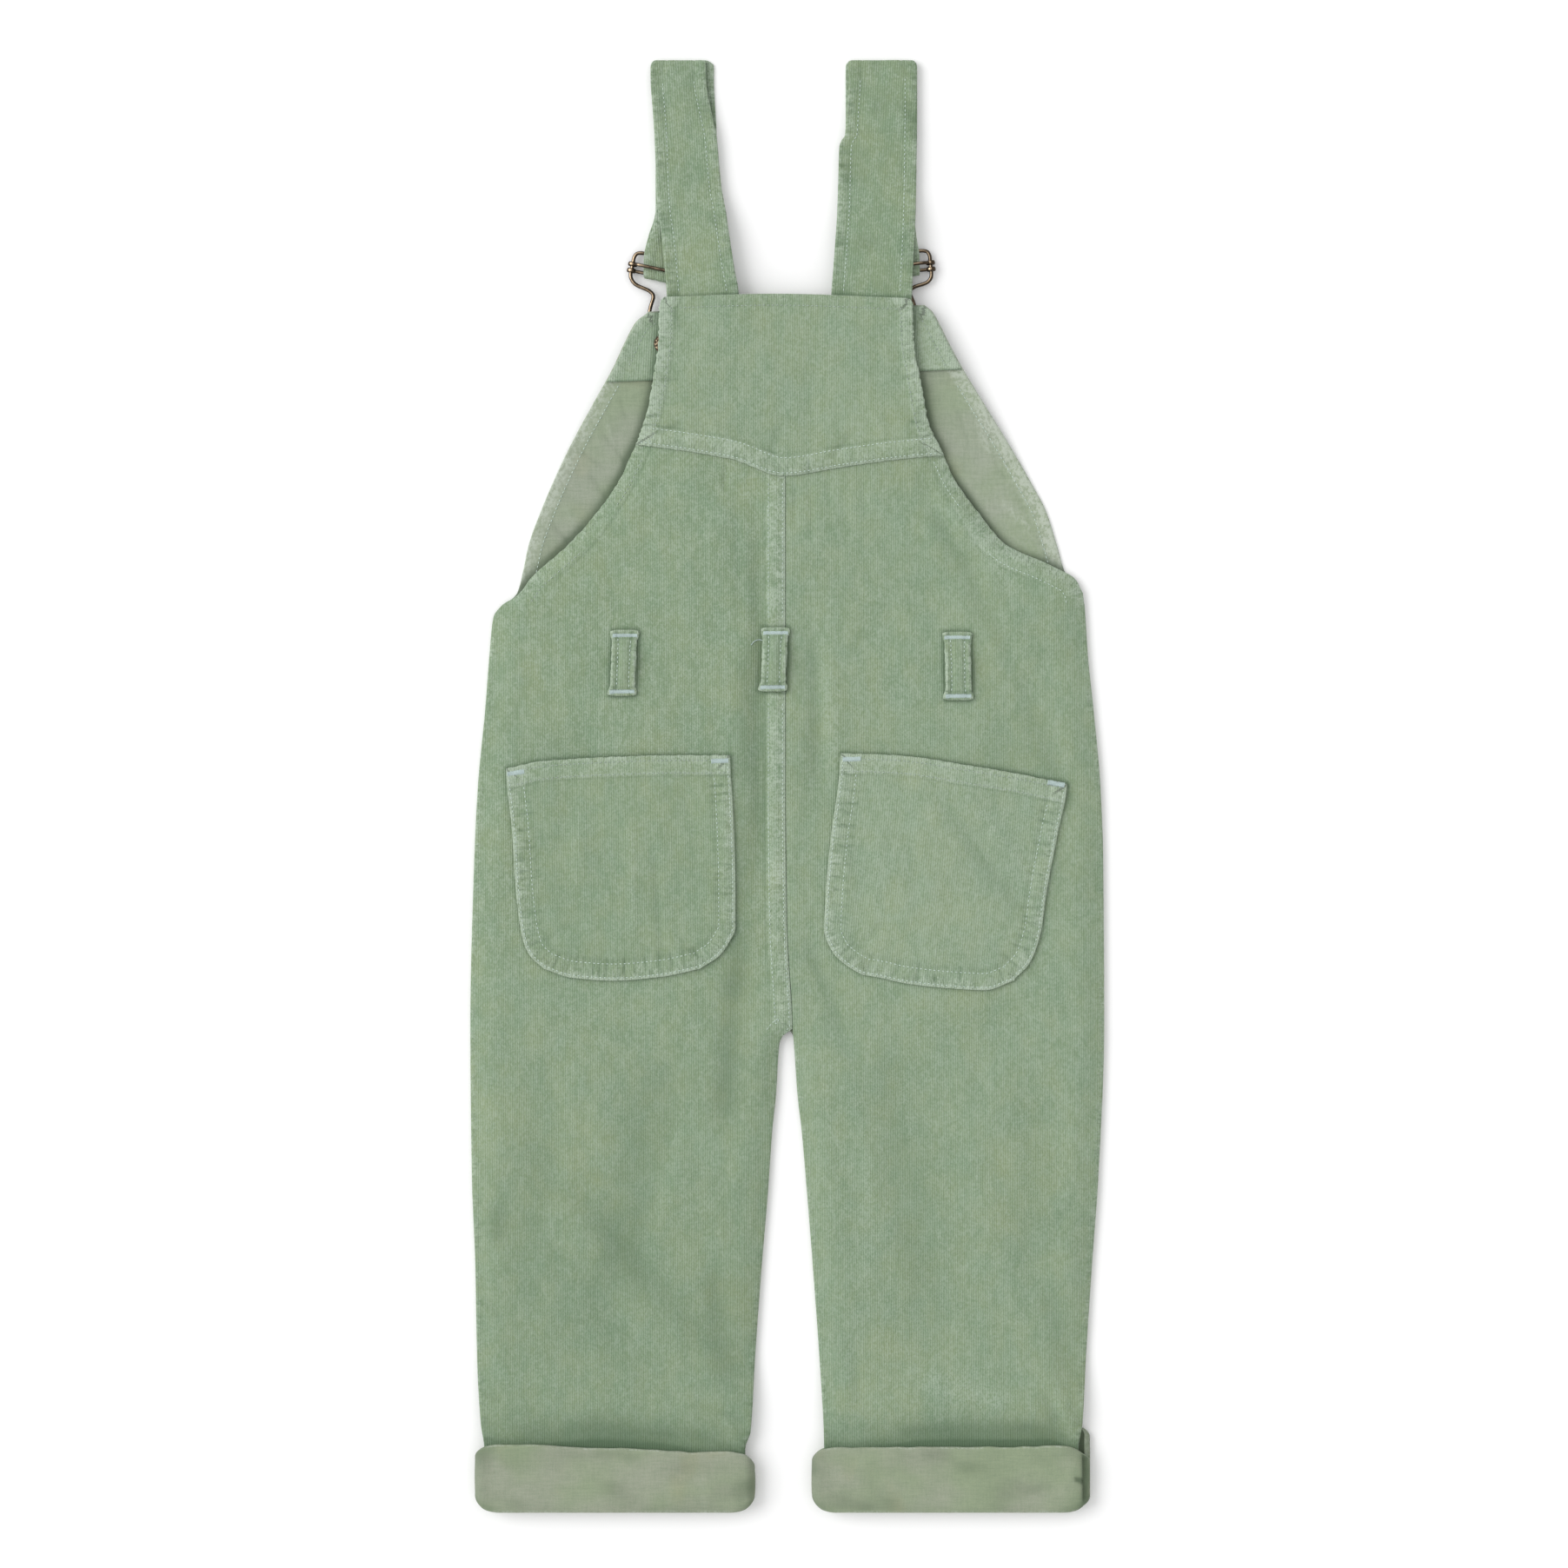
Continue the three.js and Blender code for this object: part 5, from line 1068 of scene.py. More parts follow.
def makeStrap(side):
    look, parts, buckle = strapLook, strapSections[side], buckles[side]
    back, front = parts["back"], parts["front"]
    fold = (back[-1]["z"] - front[0]["z"]) / 2
    tilt = math.tan(math.radians(buckle["turn"]))
    sections = back + arc(
        fold, look["top"] - cloth["wall"] / 2 - fold, front[0]["z"] + fold, 1, 1,
        (back[-1]["left"], back[-1]["right"]), (front[0]["left"], front[0]["right"]), 0)
    sections = sections + front + arc(
        look["loopRadius"], buckle["y"], look["wireLevel"], -1, -1, parts["loop"], parts["loop"], tilt)
    sections = sections + parts["inner"]
    centre = np.array([(s["y"], s["z"]) for s in sections])
    # Sections that meet in one point still count as a short step
    steps = np.maximum(np.hypot(*np.diff(centre, axis=0).T), 1e-3)
    total = np.concatenate([[0], np.cumsum(steps)])
    rows = [dict(section, at=a) for section, a in zip(sections, total)]
    length = total[-1]
    spans = []
    for a, b in zip(total[:-1], total[1:]):
        stepsHere = max(int(math.ceil((b - a) / (0.3 if b - a < 1 else look["spacing"]))), 1)
        spans.append(np.linspace(a, b, stepsHere, endpoint=False))
    ends = [0.2, 0.6, 1.2, length - 1.2, length - 0.6, length - 0.2, length]
    at = np.unique(np.round(np.concatenate(spans + [ends]), 4))
    value = {key: through(rows, "at", key)(at) for key in ("y", "z", "left", "right", "tilt")}
    y, z = value["y"], value["z"]
    kernel = np.ones(3) / 3
    z = np.convolve(np.pad(z, 1, mode="edge"), kernel, mode="valid")
    runY, runZ = np.gradient(y, at), np.gradient(z, at)
    size = np.maximum(np.hypot(runY, runZ), 1e-6)
    normalY, normalZ = -runZ / size, runY / size
    fromEnd = length - at
    tuck = look["corner"] - np.sqrt(np.maximum(
        look["corner"] ** 2 - (look["corner"] - np.minimum(fromEnd, look["corner"])) ** 2, 0))
    apex = np.abs(at - at[np.argmax(y)])
    tuck += look["foldCorner"] * (1 - np.sqrt(1 - (1 - clipped(apex / 4.5)) ** 2))
    left, right = value["left"] + tuck, value["right"] - tuck
    share, shift = stops(34, look["spacing"])
    x = mix(left[:, None], right[:, None], share[None, :]) + shift[None, :]
    fromSide = np.minimum(x - left[:, None], right[:, None] - x)
    toEnd = np.minimum(at, fromEnd)[:, None]
    edge = np.minimum(fromSide, toEnd)
    lift = np.sqrt(1 - (1 - clipped(edge / cloth["lip"])) ** 2)
    alongGrid = np.repeat(at[:, None], x.shape[1], 1)
    sideAlong = alongGrid + 500 * (x > 0.5 * (left + right)[:, None])
    ripple = gathered(sideAlong, 2.0, 71) * ridge(fromSide - 3, 3.6)
    rowMark = ridge(fromSide - look["row"], 0.9)
    bulge = 0.16 * ripple - 0.2 * rowMark + 0.14 * uneven(x, alongGrid, 10, 20, 72)
    half = cloth["wall"] / 2
    outside = (half + np.where(edge > 1.0, bulge * smooth(1.0, 3.0, edge), 0)) * lift
    inside = half * lift
    baseY = y[:, None] + value["tilt"][:, None] * (x - buckle["x"])
    over = np.stack([x, baseY + outside * normalY[:, None], z[:, None] + outside * normalZ[:, None]], 2)
    under = np.stack([x, baseY - inside * normalY[:, None], z[:, None] - inside * normalZ[:, None]], 2)
    for face in (over, under):
        face[:, :, 2] = np.maximum(face[:, :, 2], 0.0)
    wear = 0.75 * rubbing(fromSide, 3.2, ripple, x, alongGrid, 73)
    wear += 0.25 * clipped(uneven(x, alongGrid, 9, 20, 74)) + 0.16 * ridge(fromSide - look["row"] + 2, 1.4)
    # Painted shade along the stitch row and in the ripples' hollows, with random darker tone, and a painted
    # shadow where the strap meets the yoke's top edge
    crease = 0.4 * rowMark * (0.6 + 0.5 * uneven(x, alongGrid, 3, 5, 75))
    crease += 0.42 * clipped(uneven(x, alongGrid, 7, 12, 76)) + 0.3 * np.maximum(-ripple, 0)
    aboveYoke = baseY - through(yokeTopEdge, "share", "y")((x + 67) / 133)
    crease += 0.65 * ridge(aboveYoke - 0.4, 0.8) * (normalZ[:, None] > 0)
    # A painted shade line across the right strap's back
    if side == "right":
        crease += 0.3 * ridge(baseY - 342, 0.9) * (normalZ[:, None] > 0)
    marks = {"wear": clipped(wear), "crease": clipped(crease), "inward": fromSide, "along": sideAlong}
    marks = {key: values[::-1] for key, values in marks.items()}
    width, long = float(np.mean(right - left)), float(length)
    finish = "strapLeft" if side == "left" else "strapRight"
    piece = clothPiece(f"strap_{side}", over[::-1], under[::-1], (finish, finish), marks, (width, long),
                       width * long, "folded", ["floor", "cloth_back_yoke"])
    onBack = at < total[len(back) - 1]
    rowsOut = []
    for sign in (1, -1):
        start = left if sign > 0 else right
        rowsOut.append(np.stack([start + sign * look["row"], y], 1)[onBack & (y > 257.5)])
    return {"piece": piece, "rows": rowsOut}


# Cuffs: a flattened ring of turned-up cloth with round ends
cuffLook = {"wall": 3.2, "height": 10.3, "bottom": -380, "corner": 13, "rise": 8, "spacing": 1.4}
cuffCreases = {
    "left": table(foldColumns, [
        (-150, -352, -110, -356, 6, -0.25), (-60, -353, -25, -358, 5, -0.3), (-120, -349, -70, -352, 4, -0.3),
        (-155, -372, -120, -377, 4, -0.3), (-100, -358, -78, -376, 5, -0.15),
        (-40, -366, -22, -374, 4, -0.25),
    ]),
    "right": table(foldColumns, [
        (54, -349, 88, -354, 7, -0.3), (84, -355, 124, -346, 6, -0.25), (40, -362, 60, -378, 5, -0.3),
        (22, -372, 46, -378, 4, -0.25), (100, -372, 140, -366, 6, -0.2), (126, -350, 146, -356, 5, -0.25),
        (155.2, -340, 155.6, -378, 0.9, -2.3), (150, -362, 156, -364, 1.4, -1.0),
    ]),
}


def makeCuff(side):
    look, cuff = cuffLook, cuffs[side]
    middle = look["height"] / 2
    left, right = cuff["left"], cuff["right"]
    straight, centre = right - left - look["height"], (right + left) / 2
    count, turnCount = int(straight / look["spacing"]), 16
    run, bend = np.arange(count) / count, math.pi * np.arange(turnCount) / turnCount
    stations = []
    for facing in (1, -1):
        flatX = centre - facing * straight / 2 + facing * straight * run
        ones = np.ones(count)
        stations.append(np.stack([flatX, (middle - facing * middle) * ones, 0 * ones, -facing * ones], 1))
        angle = bend - math.pi / 2
        nx, nz = facing * np.cos(angle), facing * np.sin(angle)
        bentX = centre + facing * straight / 2 + nx * middle
        stations.append(np.stack([bentX, middle + nz * middle, nx, nz], 1))
    x, z, nx, nz = np.concatenate(stations).T
    past = clipped((np.abs(x - centre) - (right - left) / 2 + look["corner"]) / look["corner"])
    rise = look["rise"] * (1 - np.sqrt(1 - 0.98 * past ** 2))
    atRight = smooth(right - 8, right, x) * (1 - z / look["height"])
    peak = np.where(z < look["wall"], cuff["peak"] * smooth(right - 14, right - 3, x), 0)
    top = mix(cuff["topLeft"], cuff["topRight"], (x - left) / (right - left)) + peak - 0.75 * rise
    top = top + 1.0 * uneven(x, z * 3, 21, 30, 81) + 0.35 * uneven(x, z * 3, 6, 30, 82)
    rim = look["wall"] / 2
    # Round the section: up the outer face, over the lip, down the inner face and round the lower roll
    up = np.linspace(0, 1, 26)
    lip = np.linspace(0, math.pi, 9)[1:-1]
    section = [(0, t, 1) for t in up]
    section += [(rim - rim * math.cos(a), 1, 1 + math.sin(a)) for a in lip]
    section += [(2 * rim, t, 1) for t in up[::-1]]
    section += [(rim + rim * math.cos(a), 0, 1 + math.sin(a)) for a in lip]
    points, marks = [], []
    for depth, t, beyond in section:
        low, high = look["bottom"] + rim + rise, top - rim * 0.7
        reach = (beyond - 1) * rim * (0.7 if t > 0.5 else 1)
        y = mix(low, high, t) + (reach if t > 0.5 else -reach)
        outward = np.zeros(len(x))
        if depth < 0.1:
            outward = 0.35 * math.sin(math.pi * t) * np.ones(len(x)) + 0.16 * uneven(x, y, 22, 14, 83)
            outward = np.where(nz > 0, outward + foldHeight(cuffCreases[side], x, y), 0)
            outward = np.minimum(outward, 0.6) * smooth(0, 0.1, t) * smooth(1, 0.93, t)
        inward = depth - outward
        flatten = np.where(nz < -0.99, depth, inward)
        points.append(np.stack([x - nx * flatten + cuff["skew"] * atRight, y, z - nz * flatten], 1))
        # Painted shade in the cuff's folds and low on its outer face, with random darker tone
        hollow = np.maximum(-foldHeight(cuffCreases[side], x, y), 0) * 0.75 if depth < 0.1 else 0 * x
        hollow = hollow + 0.3 * clipped(uneven(x, y, 17, 9, 85)) + 0.16 * smooth(0.12, 0, t)
        worn = 0.35 * (1 if 0.02 < depth < 2 * rim - 0.02 else 0) + 0.2 * uneven(x, y, 6, 6, 84)
        # Painted shade towards the round ends and on the inner face
        deep = 0.5 * past + (0.7 if depth > 2 * rim - 0.1 else 0)
        marks.append((clipped(worn + 0 * x), clipped(hollow + deep)))
    grid = np.stack(points, 1)
    rows, columns = grid.shape[:2]
    index = np.arange(rows * columns).reshape(rows, columns)
    beside, above = np.roll(index, -1, 0), np.roll(index, -1, 1)
    both = np.roll(beside, -1, 1)
    faces = np.stack([index.ravel(), beside.ravel(), both.ravel(), above.ravel()], 1)
    both = {key: np.stack([mark[i] for mark in marks], 1).ravel() for i, key in enumerate(("wear", "crease"))}
    piece = meshPiece(f"cloth_cuff_{side}", grid.reshape(-1, 3), faces.tolist(), ["cuff"], both)
    around = 2 * straight + math.pi * look["height"]
    tall = float(np.mean(top)) - look["bottom"]
    keepSheet(piece, f"cuff_{side}", (around, tall), around * tall, "folded", ["floor"])


for side in ("left", "right"):
    makeFront(side)
    makeBack(side)
yoke = makeYoke()
bib = makeBib()
pockets = {side: makePocket(side) for side in ("left", "right")}
loops = {loop["name"]: makeLoop(loop) for loop in beltLoops}
straps = {side: makeStrap(side) for side in ("left", "right")}
for side in ("left", "right"):
    makeCuff(side)
print("cloth made")

# Topstitching: short rounded threads along each row, half sunk in the cloth
stitchLook = {"pitch": 2.3, "length": 1.4, "radius": 0.27, "sink": 0.08, "sides": 5}


def surfaceOf(piece):
    mesh = piece.data
    return BVHTree.FromPolygons([v.co for v in mesh.vertices], [tuple(p.vertices) for p in mesh.polygons])


def heightsOn(tree, points):
    found = []
    for px, py in points:
        place = tree.ray_cast(Vector((px * mm, py * mm, 0.05)), Vector((0, 0, -1)))[0]
        found.append(math.nan if place is None else place.z / mm)
    return np.array(found)


# One mesh of all the threads between pairs of points
def threadMesh(name, starts, ends, radius, finish):
    run = ends - starts
    length = np.linalg.norm(run, axis=1)[:, None]
    along = run / length
    side = np.cross(along, [0, 0, 1.0])
    side /= np.linalg.norm(side, axis=1)[:, None]
    up = np.cross(side, along)
    sides = stitchLook["sides"]
    rings = [(0.10, 0.62, -0.10), (0.34, 1.0, 0.05), (0.66, 1.0, 0.05), (0.90, 0.62, -0.10)]
    layers = [starts + 0 * run - 0.12 * up]
    for share, width, raised in rings:
        middle = starts + run * share + up * raised
        for k in range(sides):
            angle = 2 * math.pi * k / sides
            layers.append(middle + radius * width * (math.cos(angle) * side + math.sin(angle) * up))
    layers.append(ends - 0.12 * up)
    points = np.stack(layers, 1)
    count = points.shape[1]
    faces = []
    for k in range(sides):
        n = (k + 1) % sides
        faces.append((0, 1 + n, 1 + k))
        faces.append((count - 1, count - 1 - sides + k, count - 1 - sides + n))
        for ring in range(len(rings) - 1):
            a, b = 1 + ring * sides, 1 + (ring + 1) * sides
            faces.append((a + k, a + n, b + n, b + k))
    allFaces = [tuple(int(i * count + v) for v in face) for i in range(len(points)) for face in faces]
    return meshPiece(name, points.reshape(-1, 3), allFaces, [finish])


def stitchRow(path, tree):
    pitch, length = stitchLook["pitch"], stitchLook["length"]
    middles = np.arange(pitch / 2, runLength(path)[-1] - pitch / 2, pitch)
    middles = middles + 0.12 * uneven(middles, 0, 1.3, 1, 91)

    def place(at):
        flat = pointsAt(path, at)
        sunk = stitchLook["sink"] * (1 + uneven(at, 0, 5, 1, 93)) - stitchLook["radius"] * 0.5
        return np.column_stack([flat, heightsOn(tree, flat) - sunk])

    starts, ends = place(middles - length / 2), place(middles + length / 2)
    good = np.isfinite(starts[:, 2]) & np.isfinite(ends[:, 2]) & (np.abs(starts[:, 2] - ends[:, 2]) < 0.7)
    return starts[good], ends[good]


def stitchPiece(owner, rows, finish="thread", place=""):
    tree = surfaceOf(owner)
    pairs = [stitchRow(np.asarray(path), tree) for path in rows]
    starts, ends = (np.concatenate([pair[i] for pair in pairs]) for i in (0, 1))
    name = owner.name.replace("cloth_", "stitches_") + place
    piece = threadMesh(name, starts, ends, stitchLook["radius"], finish)
    stitchPieces.setdefault(owner.name, []).append(piece)
    return len(starts)


# Bartacks: a close bar of short threads across a line
bartackLook = {"pitch": 0.5, "radius": 0.3, "level": 0.12, "onLoop": 2.6, "onPocket": 3.0}


def bartack(owner, name, lines, tall):
    tree = surfaceOf(owner)
    starts, ends = [], []
    for (x0, y0), (x1, y1) in lines:
        length = math.hypot(x1 - x0, y1 - y0)
        across = np.array([-(y1 - y0), x1 - x0]) / length * tall / 2
        t = np.arange(0, 1, bartackLook["pitch"] / length)
        line = np.stack([mix(x0, x1, t), mix(y0, y1, t)], 1)
        level = heightsOn(tree, line) + bartackLook["level"]
        jitter = 0.12 * uneven(t * length, 0, 0.7, 1, 92)[:, None]
        starts.append(np.column_stack([line - across * (1 + jitter), level]))
        ends.append(np.column_stack([line + across * (1 - jitter), level]))
    starts, ends = np.concatenate(starts), np.concatenate(ends)
    good = np.isfinite(starts[:, 2])
    piece = threadMesh(name, starts[good], ends[good], bartackLook["radius"], "bartack")
    stitchPieces.setdefault(owner.name, []).append(piece)


def between(path, column, low, high):
    return path[(path[:, column] > low) & (path[:, column] < high)]


stitched = 0
for side in ("left", "right"):
    panel = backPanels[side]
    highRow = between(inset(panel["armhole"], 6.2), 1, 146, 171)
    lowRow = between(inset(panel["armhole"], panel["row"]), 1, 95, 122)
    stitched += stitchPiece(panel["piece"], [highRow, lowRow], "threadSoft" if side == "left" else "thread",
                            "_armhole")
    if side == "left":
        seam, rows = panel["cut"].path("right"), []
        for distance in (1.6, 9):
            row = inset(seam, distance)
            rows.append(between(row, 1, -128, 45))
            rows.append(between(row, 1, 87, 161))
        stitched += stitchPiece(panel["piece"], rows, "thread", "_seam")
    pocket = pockets[side]
    rim = pocket["rim"]
    rows = [inset(rim, 1.5)[6:-6], inset(rim, pocketLook["inner"])[20:-20]]
    stitched += stitchPiece(pocket["piece"], rows, "thread", "_rim")
    rows = [inset(pocket["top"], distance)[4:-4] for distance in (2.8, 9.3)]
    stitched += stitchPiece(pocket["piece"], rows, "threadSoft", "_hem")
    stitched += stitchPiece(straps[side]["piece"], straps[side]["rows"])
bandRow, edgeRow = inset(yoke["bottom"], 9.4), inset(yoke["bottom"], 1.5)
sideRows = [between(inset(yoke[side], 6.4), 1, 172, 250) for side in ("left", "right")]
topRow = between(inset(yoke["top"], 6), 0, -58, 58)
stitched += stitchPiece(yoke["piece"], [bandRow[10:-10], edgeRow[4:-4]], "thread", "_band")
stitched += stitchPiece(yoke["piece"], [topRow] + sideRows, "threadSoft", "_hems")
bibRows = [between(inset(bib["bibCut"].path(side), 7), 1, 92, 210) for side in ("left", "right")]
stitched += stitchPiece(bib["bib"], bibRows)
facingRows = [between(inset(bib["strip"].path(side), 6.6), 1, 219, 244) for side in ("left", "right")]
stitched += stitchPiece(bib["facing"], facingRows, "threadSoft")
for loop in beltLoops:
    made = loops[loop["name"]]
    rows = [inset(made["cut"].path(side), loopLook["row"])[8:-8] for side in ("left", "right")]
    stitched += stitchPiece(made["piece"], rows)
    half = loop["width"] / 2 - 0.6
    lines = [((x - half, y), (x + half, y))
             for x, y in ((loop["topX"], loop["top"] - 3), (loop["bottomX"], loop["bottom"] + 2.2))]
    bartack(made["piece"], f"bartacks_{loop['name']}", lines, bartackLook["onLoop"])
for side, lines in (("left", [((-146.2, 6.2), (-137.4, 7.4)), ((-39.5, 12.9), (-30.6, 13.1))]),
                    ("right", [((29.2, 13.9), (38.4, 14.1)), ((136.4, 1.9), (145.2, 0.2))])):
    bartack(pockets[side]["piece"], f"bartacks_pocket_{side}", lines, bartackLook["onPocket"])
print("stitches made:", stitched)


def deselect():
    bpy.ops.object.select_all(action="DESELECT")


# Painted highlight on brass: the faces turned up and towards the light
def markPaintedHighlight(piece):
    mesh = piece.data
    towardsLight = np.array([-0.3, 0.1, 0.95])
    up = np.array([vertex.normal[:] for vertex in mesh.vertices]) @ towardsLight
    values = smooth(0.83, 0.97, up).astype(np.float32)
    mesh.attributes.new("highlightAndWear", "FLOAT", "POINT").data.foreach_set("value", values)


# A round wire through points, as one mesh
def wirePiece(name, points, radius, closed, finish):
    deselect()
    curve = bpy.data.curves.new(name, "CURVE")
    curve.dimensions = "3D"
    curve.bevel_depth, curve.bevel_resolution = radius * mm, 3
    curve.use_fill_caps = not closed
    spline = curve.splines.new("POLY")
    spline.points.add(len(points) - 1)
    for point, place in zip(spline.points, points):
        point.co = (*(c * mm for c in place), 1)
    spline.use_cyclic_u = closed
    piece = bpy.data.objects.new(name, curve)
    bpy.context.scene.collection.objects.link(piece)
    piece.select_set(True)
    bpy.context.view_layer.objects.active = piece
    bpy.ops.object.convert(target="MESH")
    piece = bpy.context.view_layer.objects.active
    piece.data.polygons.foreach_set("use_smooth", np.ones(len(piece.data.polygons), bool))
    piece.data.materials.clear()
    piece.data.materials.append(finishes[finish])
    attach(piece, "root")
    return piece


# A rounded line through points, a few short steps between each pair
def rounded(points, steps):
    points = [np.array(p, float) for p in points]
    line = []
    for i in range(len(points) - 1):
        before = points[i - 1] if i else 2 * points[0] - points[1]
        after = points[i + 2] if i + 2 < len(points) else 2 * points[-1] - points[-2]
        a, b = points[i], points[i + 1]
        first, second = ((np.linalg.norm(q - p) + 1e-9) ** 0.5 for p, q in ((before, a), (b, after)))
        span = (np.linalg.norm(b - a) + 1e-9) ** 0.5
        leave = ((a - before) / first - (b - before) / (first + span) + (b - a) / span) * span
        reach = ((b - a) / span - (after - a) / (span + second) + (after - b) / second) * span
        for t in np.arange(steps) / steps:
            line.append((2 * t ** 3 - 3 * t ** 2 + 1) * a + (t ** 3 - 2 * t ** 2 + t) * leave
                        + (3 * t ** 2 - 2 * t ** 3) * b + (t ** 3 - t ** 2) * reach)
    return line + [points[-1]]


# Wire buckles: a hook of one wire, and two bars with a coil round the hook at each end
hookLook = {
    "radius": 1.0, "barRadius": 0.9, "half": 18.25, "level": 2.7, "loopLevel": 3.7, "bail": 10,
    "shank": -34.4, "coilRadius": 1.9, "coilWire": 0.6, "barPitch": 3.4, "overStrap": 4.3,
}


def onBuckle(buckle, across, along):
    turn = math.radians(buckle["turn"])
    x = buckle["x"] + across * math.cos(turn) - along * math.sin(turn)
    return x, buckle["y"] + across * math.sin(turn) + along * math.cos(turn)


def makeBuckle(side):
    look, buckle = hookLook, buckles[side]
    half, level, high = look["half"], look["level"], look["loopLevel"]
    outline = [
        (0.2, look["bail"], level), (9, look["bail"], level), (half - 3, look["bail"], level),
        (half - 0.9, look["bail"] - 0.9, level), (half, look["bail"] - 3, level), (half, 4, level),
        (half, 1, level), (half, -2, level), (half - 0.4, -4.2, level), (half - 2.6, -6.6, level),
        (8, -8.6, level), (6, -10.5, level), (7.4, -17, mix(level, high, 0.6)), (8.2, -23, high),
        (6, -29, high), (3.6, look["shank"] + 1, high), (2.8, look["shank"] - 2.4, high),
    ]
    mirrored = [(-a, b, z) for a, b, z in reversed(outline)]
    points = []
    for across, along, z in outline + [(0, look["shank"] - 3.7, high)] + mirrored:
        lean = np.clip((along + 2) / (look["shank"] + 2), 0, 1) * buckle["lean"]
        points.append((*onBuckle(buckle, across + lean, along), z))
    hook = wirePiece(f"wire_hook_{side}", rounded(points, 6), look["radius"], True, "brass")
    markPaintedHighlight(hook)
    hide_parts(f"hook_{side}")
    overStrap = level + look["overStrap"] - 0.4
    for name, along, top in (("lower", 0, level), ("upper", look["barPitch"], overStrap)):
        arched = name == "upper"
        start = 0.95 if arched else 1.9
        line = [(half - start, along, level + (1.6 if arched else 0))]
        line += [(half - 2.3, along, mix(level, top, 0.8)), (half - 3.4, along, top), (6, along, top)]
        if not arched:
            line = [(half - start, along, level), (half - 6, along, level), (6, along, level)]
        line = line + [(-a, b, z) for a, b, z in reversed(line)]
        placed = [(*onBuckle(buckle, a, b), z) for a, b, z in line]
        bar = wirePiece(f"wire_bar_{name}_{side}", rounded(placed, 5), look["barRadius"], False, "brass")
        parts = [bar]
        for sign in (-1, 1):
            x, y = onBuckle(buckle, sign * half, along)
            deselect()
            bpy.ops.mesh.primitive_torus_add(
                location=(x * mm, y * mm, level * mm),
                rotation=(math.pi / 2, 0, math.radians(buckle["turn"])),
                major_radius=look["coilRadius"] * mm, minor_radius=look["coilWire"] * mm,
                major_segments=28, minor_segments=10)
            ring = bpy.context.object
            ring.scale = (1, 1, 2)
            bpy.ops.object.transform_apply(location=True, rotation=True, scale=True)
            bpy.ops.object.shade_smooth()
            ring.data.materials.append(finishes["brass"])
            parts.append(ring)
        deselect()
        for part in parts:
            part.select_set(True)
        bpy.context.view_layer.objects.active = bar
        bpy.ops.object.join()
        markPaintedHighlight(bar)
        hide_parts(f"bar_{name}_{side}")


# Buttons: a domed cap outside, a shank, and a tack plate inside
buttonLook = {"segments": 48, "sharpest": 40}
buttonOutline = table("radius z", [
    (5.4, 0.0), (6.3, 0.15), (6.8, 0.55), (7.0, 1.2), (6.85, 1.9), (6.4, 2.4), (4.6, 2.4), (1.9, 2.4),
    (1.9, 8.2), (4.7, 8.2), (5.0, 8.4), (4.95, 8.75), (4.3, 9.0), (4.0, 8.95), (3.2, 9.1), (1.4, 9.1),
])


def makeButton(side):
    buckle = buckles[side]
    x, y = onBuckle(buckle, buckle["lean"], hookLook["shank"])
    deselect()
    first = buttonOutline[0]
    bpy.ops.mesh.primitive_circle_add(vertices=buttonLook["segments"], radius=first["radius"] * mm,
                                      fill_type="NGON", location=(x * mm, y * mm, first["z"] * mm))
    piece = bpy.context.object
    piece.name = piece.data.name = f"tack_button_{side}"
    bpy.ops.object.mode_set(mode="EDIT")
    bpy.ops.mesh.select_all(action="SELECT")
    for before, row in zip(buttonOutline, buttonOutline[1:]):
        size = row["radius"] / before["radius"]
        bpy.ops.mesh.extrude_region_move(
            TRANSFORM_OT_translate={"value": (0, 0, (row["z"] - before["z"]) * mm)})
        bpy.ops.transform.resize(value=(size, size, 1), center_override=(x * mm, y * mm, row["z"] * mm))
    bpy.ops.mesh.select_all(action="SELECT")
    bpy.ops.mesh.normals_make_consistent(inside=False)
    bpy.ops.object.mode_set(mode="OBJECT")
    bpy.ops.object.transform_apply(location=True, rotation=True, scale=True)
    bpy.ops.object.shade_smooth_by_angle(angle=math.radians(buttonLook["sharpest"]))
    piece.data.materials.append(finishes["tack"])
    markPaintedHighlight(piece)
    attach(piece, "root")
    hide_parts(f"button_{side}")


for side in ("left", "right"):
    makeBuckle(side)
    makeButton(side)

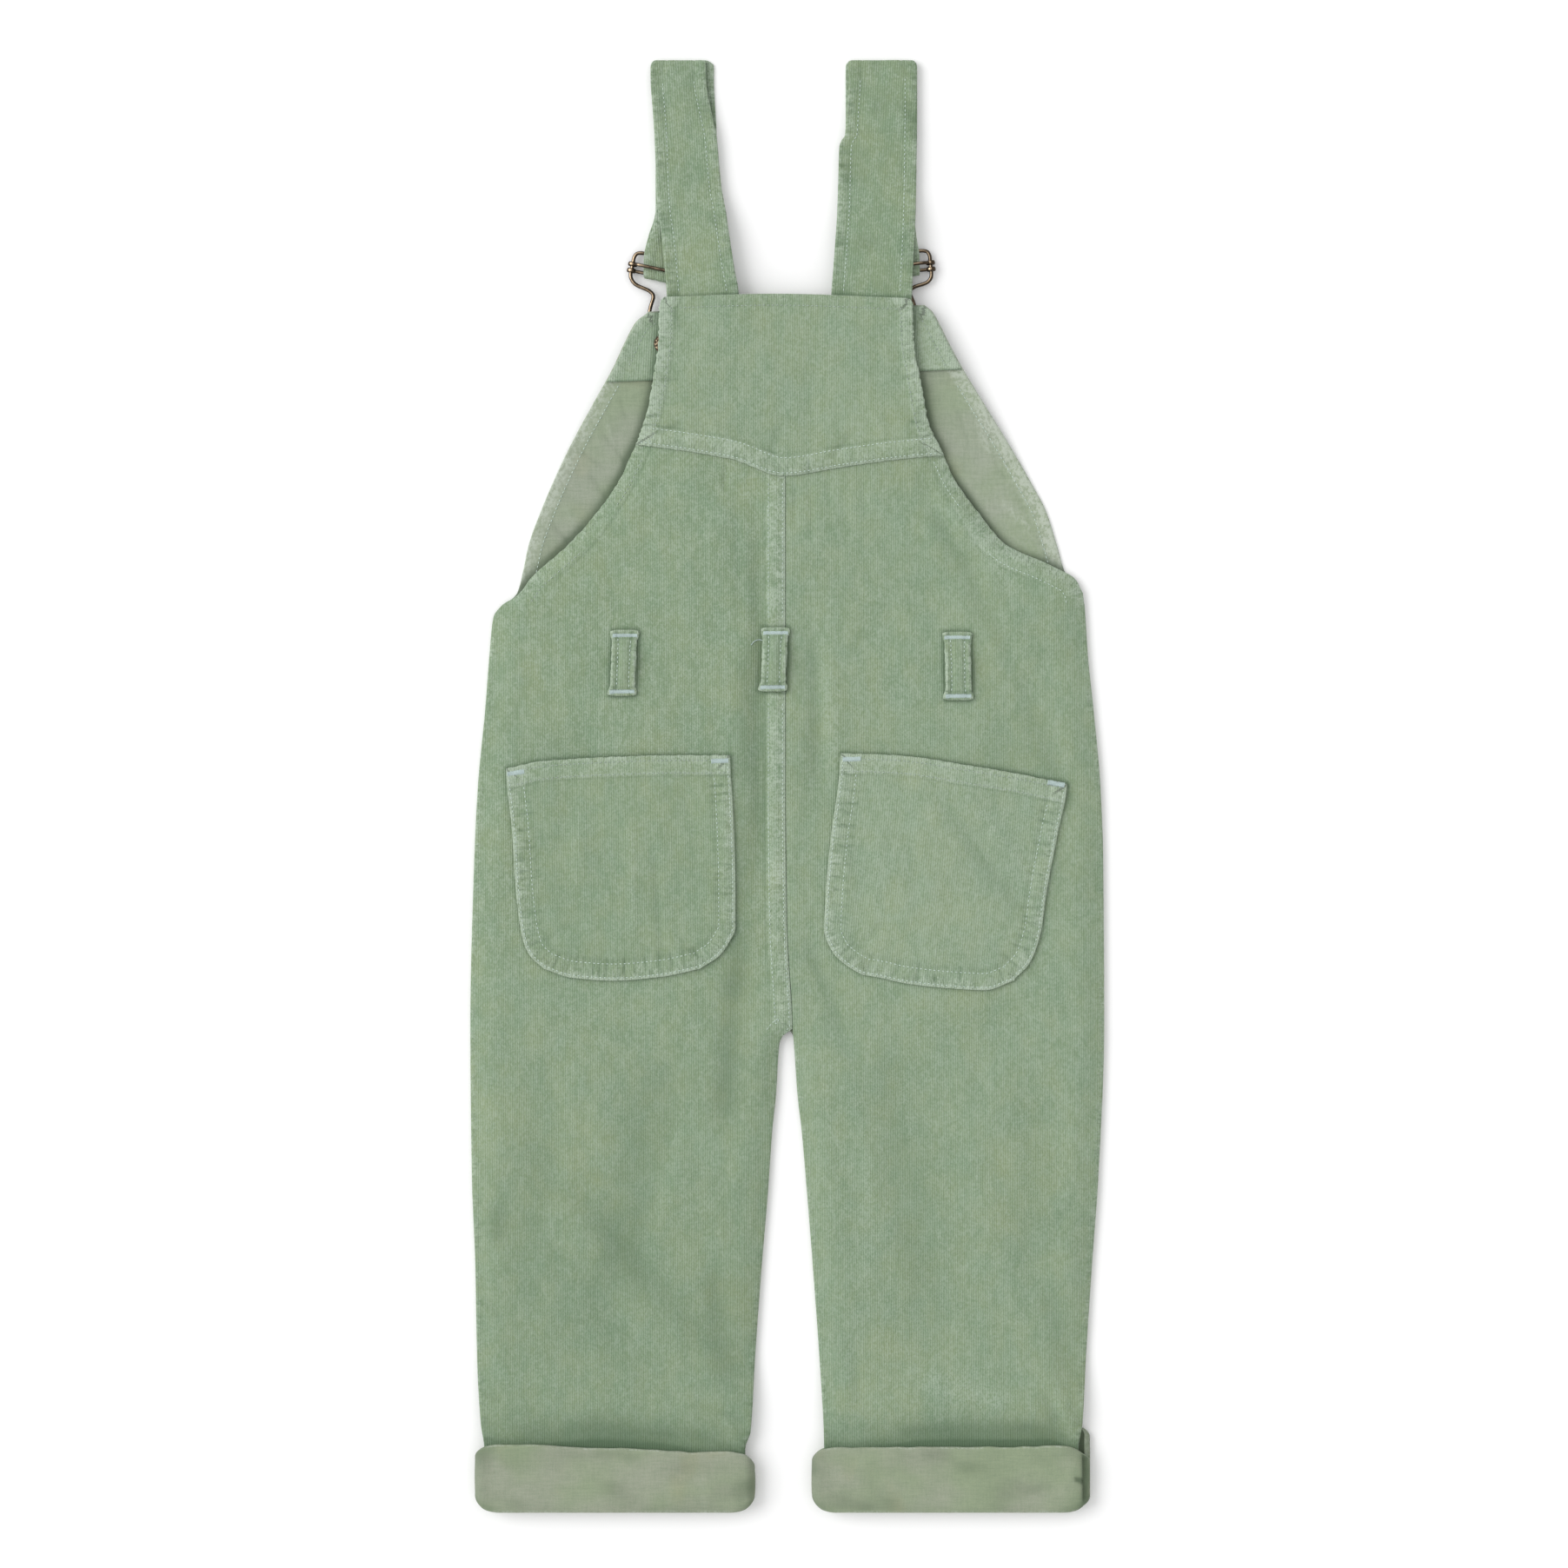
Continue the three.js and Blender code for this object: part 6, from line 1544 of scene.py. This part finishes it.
# A loose end of thread beside the middle belt loop
tail = [(-12.6, 76.0), (-15.0, 76.4), (-17.4, 75.4), (-18.9, 73.6)]
tailTree = surfaceOf(backPanels["left"]["piece"])
tailPoints = [(x, y, float(heightsOn(tailTree, [(x, y)])[0]) + 0.3) for x, y in tail]
wirePiece("thread_tail", rounded(tailPoints, 5), 0.2, False, "bartack")
print("buckles, buttons and thread made")

for piece, flat, area, held, rests in sheets:
    flat[0] * mm
    flat[1] * mm
    min(area, flat[0] * flat[1]) * mm ** 2

# Floor, light and camera
deselect()
bpy.ops.mesh.primitive_plane_add(size=8, location=(0, 0, -0.0001))
floor = bpy.context.object
floor.name = "floor"
bpy.ops.object.transform_apply(location=True)
s = Shader("paleFloor")
grain = s.noise(s.cells(220, 220, 220), 1.0)
floor.data.materials.append(s.finish(
    s.blend(grain, (0.95, 0.95, 0.95, 1), (0.97, 0.97, 0.97, 1)), 0.9, [], Specular_IOR_Level=0.0))

lightLook = {"world": 0.84, "sun": 1.84, "sunAngle": 52, "side": (-0.78, 0.20, 0.55)}
scene = bpy.context.scene
world = bpy.data.worlds.new("studio")
world.use_nodes = True
world.node_tree.nodes["Background"].inputs["Color"].default_value = (1, 1, 1, 1)
world.node_tree.nodes["Background"].inputs["Strength"].default_value = lightLook["world"]
scene.world = world
lamp = bpy.data.lights.new("softKey", "SUN")
lamp.energy, lamp.angle = lightLook["sun"], math.radians(lightLook["sunAngle"])
key = bpy.data.objects.new("softKey", lamp)
key.rotation_euler = Vector(lightLook["side"]).to_track_quat("Z", "Y").to_euler()
scene.collection.objects.link(key)

# The photograph looks straight down: 822 mm of surface across its 1804 pixels
cameraLook = {"x": -1.7, "y": 0.9, "height": 3000, "across": 821.9, "sensor": 36}
lens = bpy.data.cameras.new("camera")
lens.sensor_width = cameraLook["sensor"]
lens.lens = cameraLook["sensor"] * cameraLook["height"] / cameraLook["across"]
lens.clip_end = 20
camera = bpy.data.objects.new("camera", lens)
camera.location = [cameraLook[key] * mm for key in ("x", "y", "height")]
scene.collection.objects.link(camera)
scene.camera = camera
scene.view_settings.view_transform = "Standard"
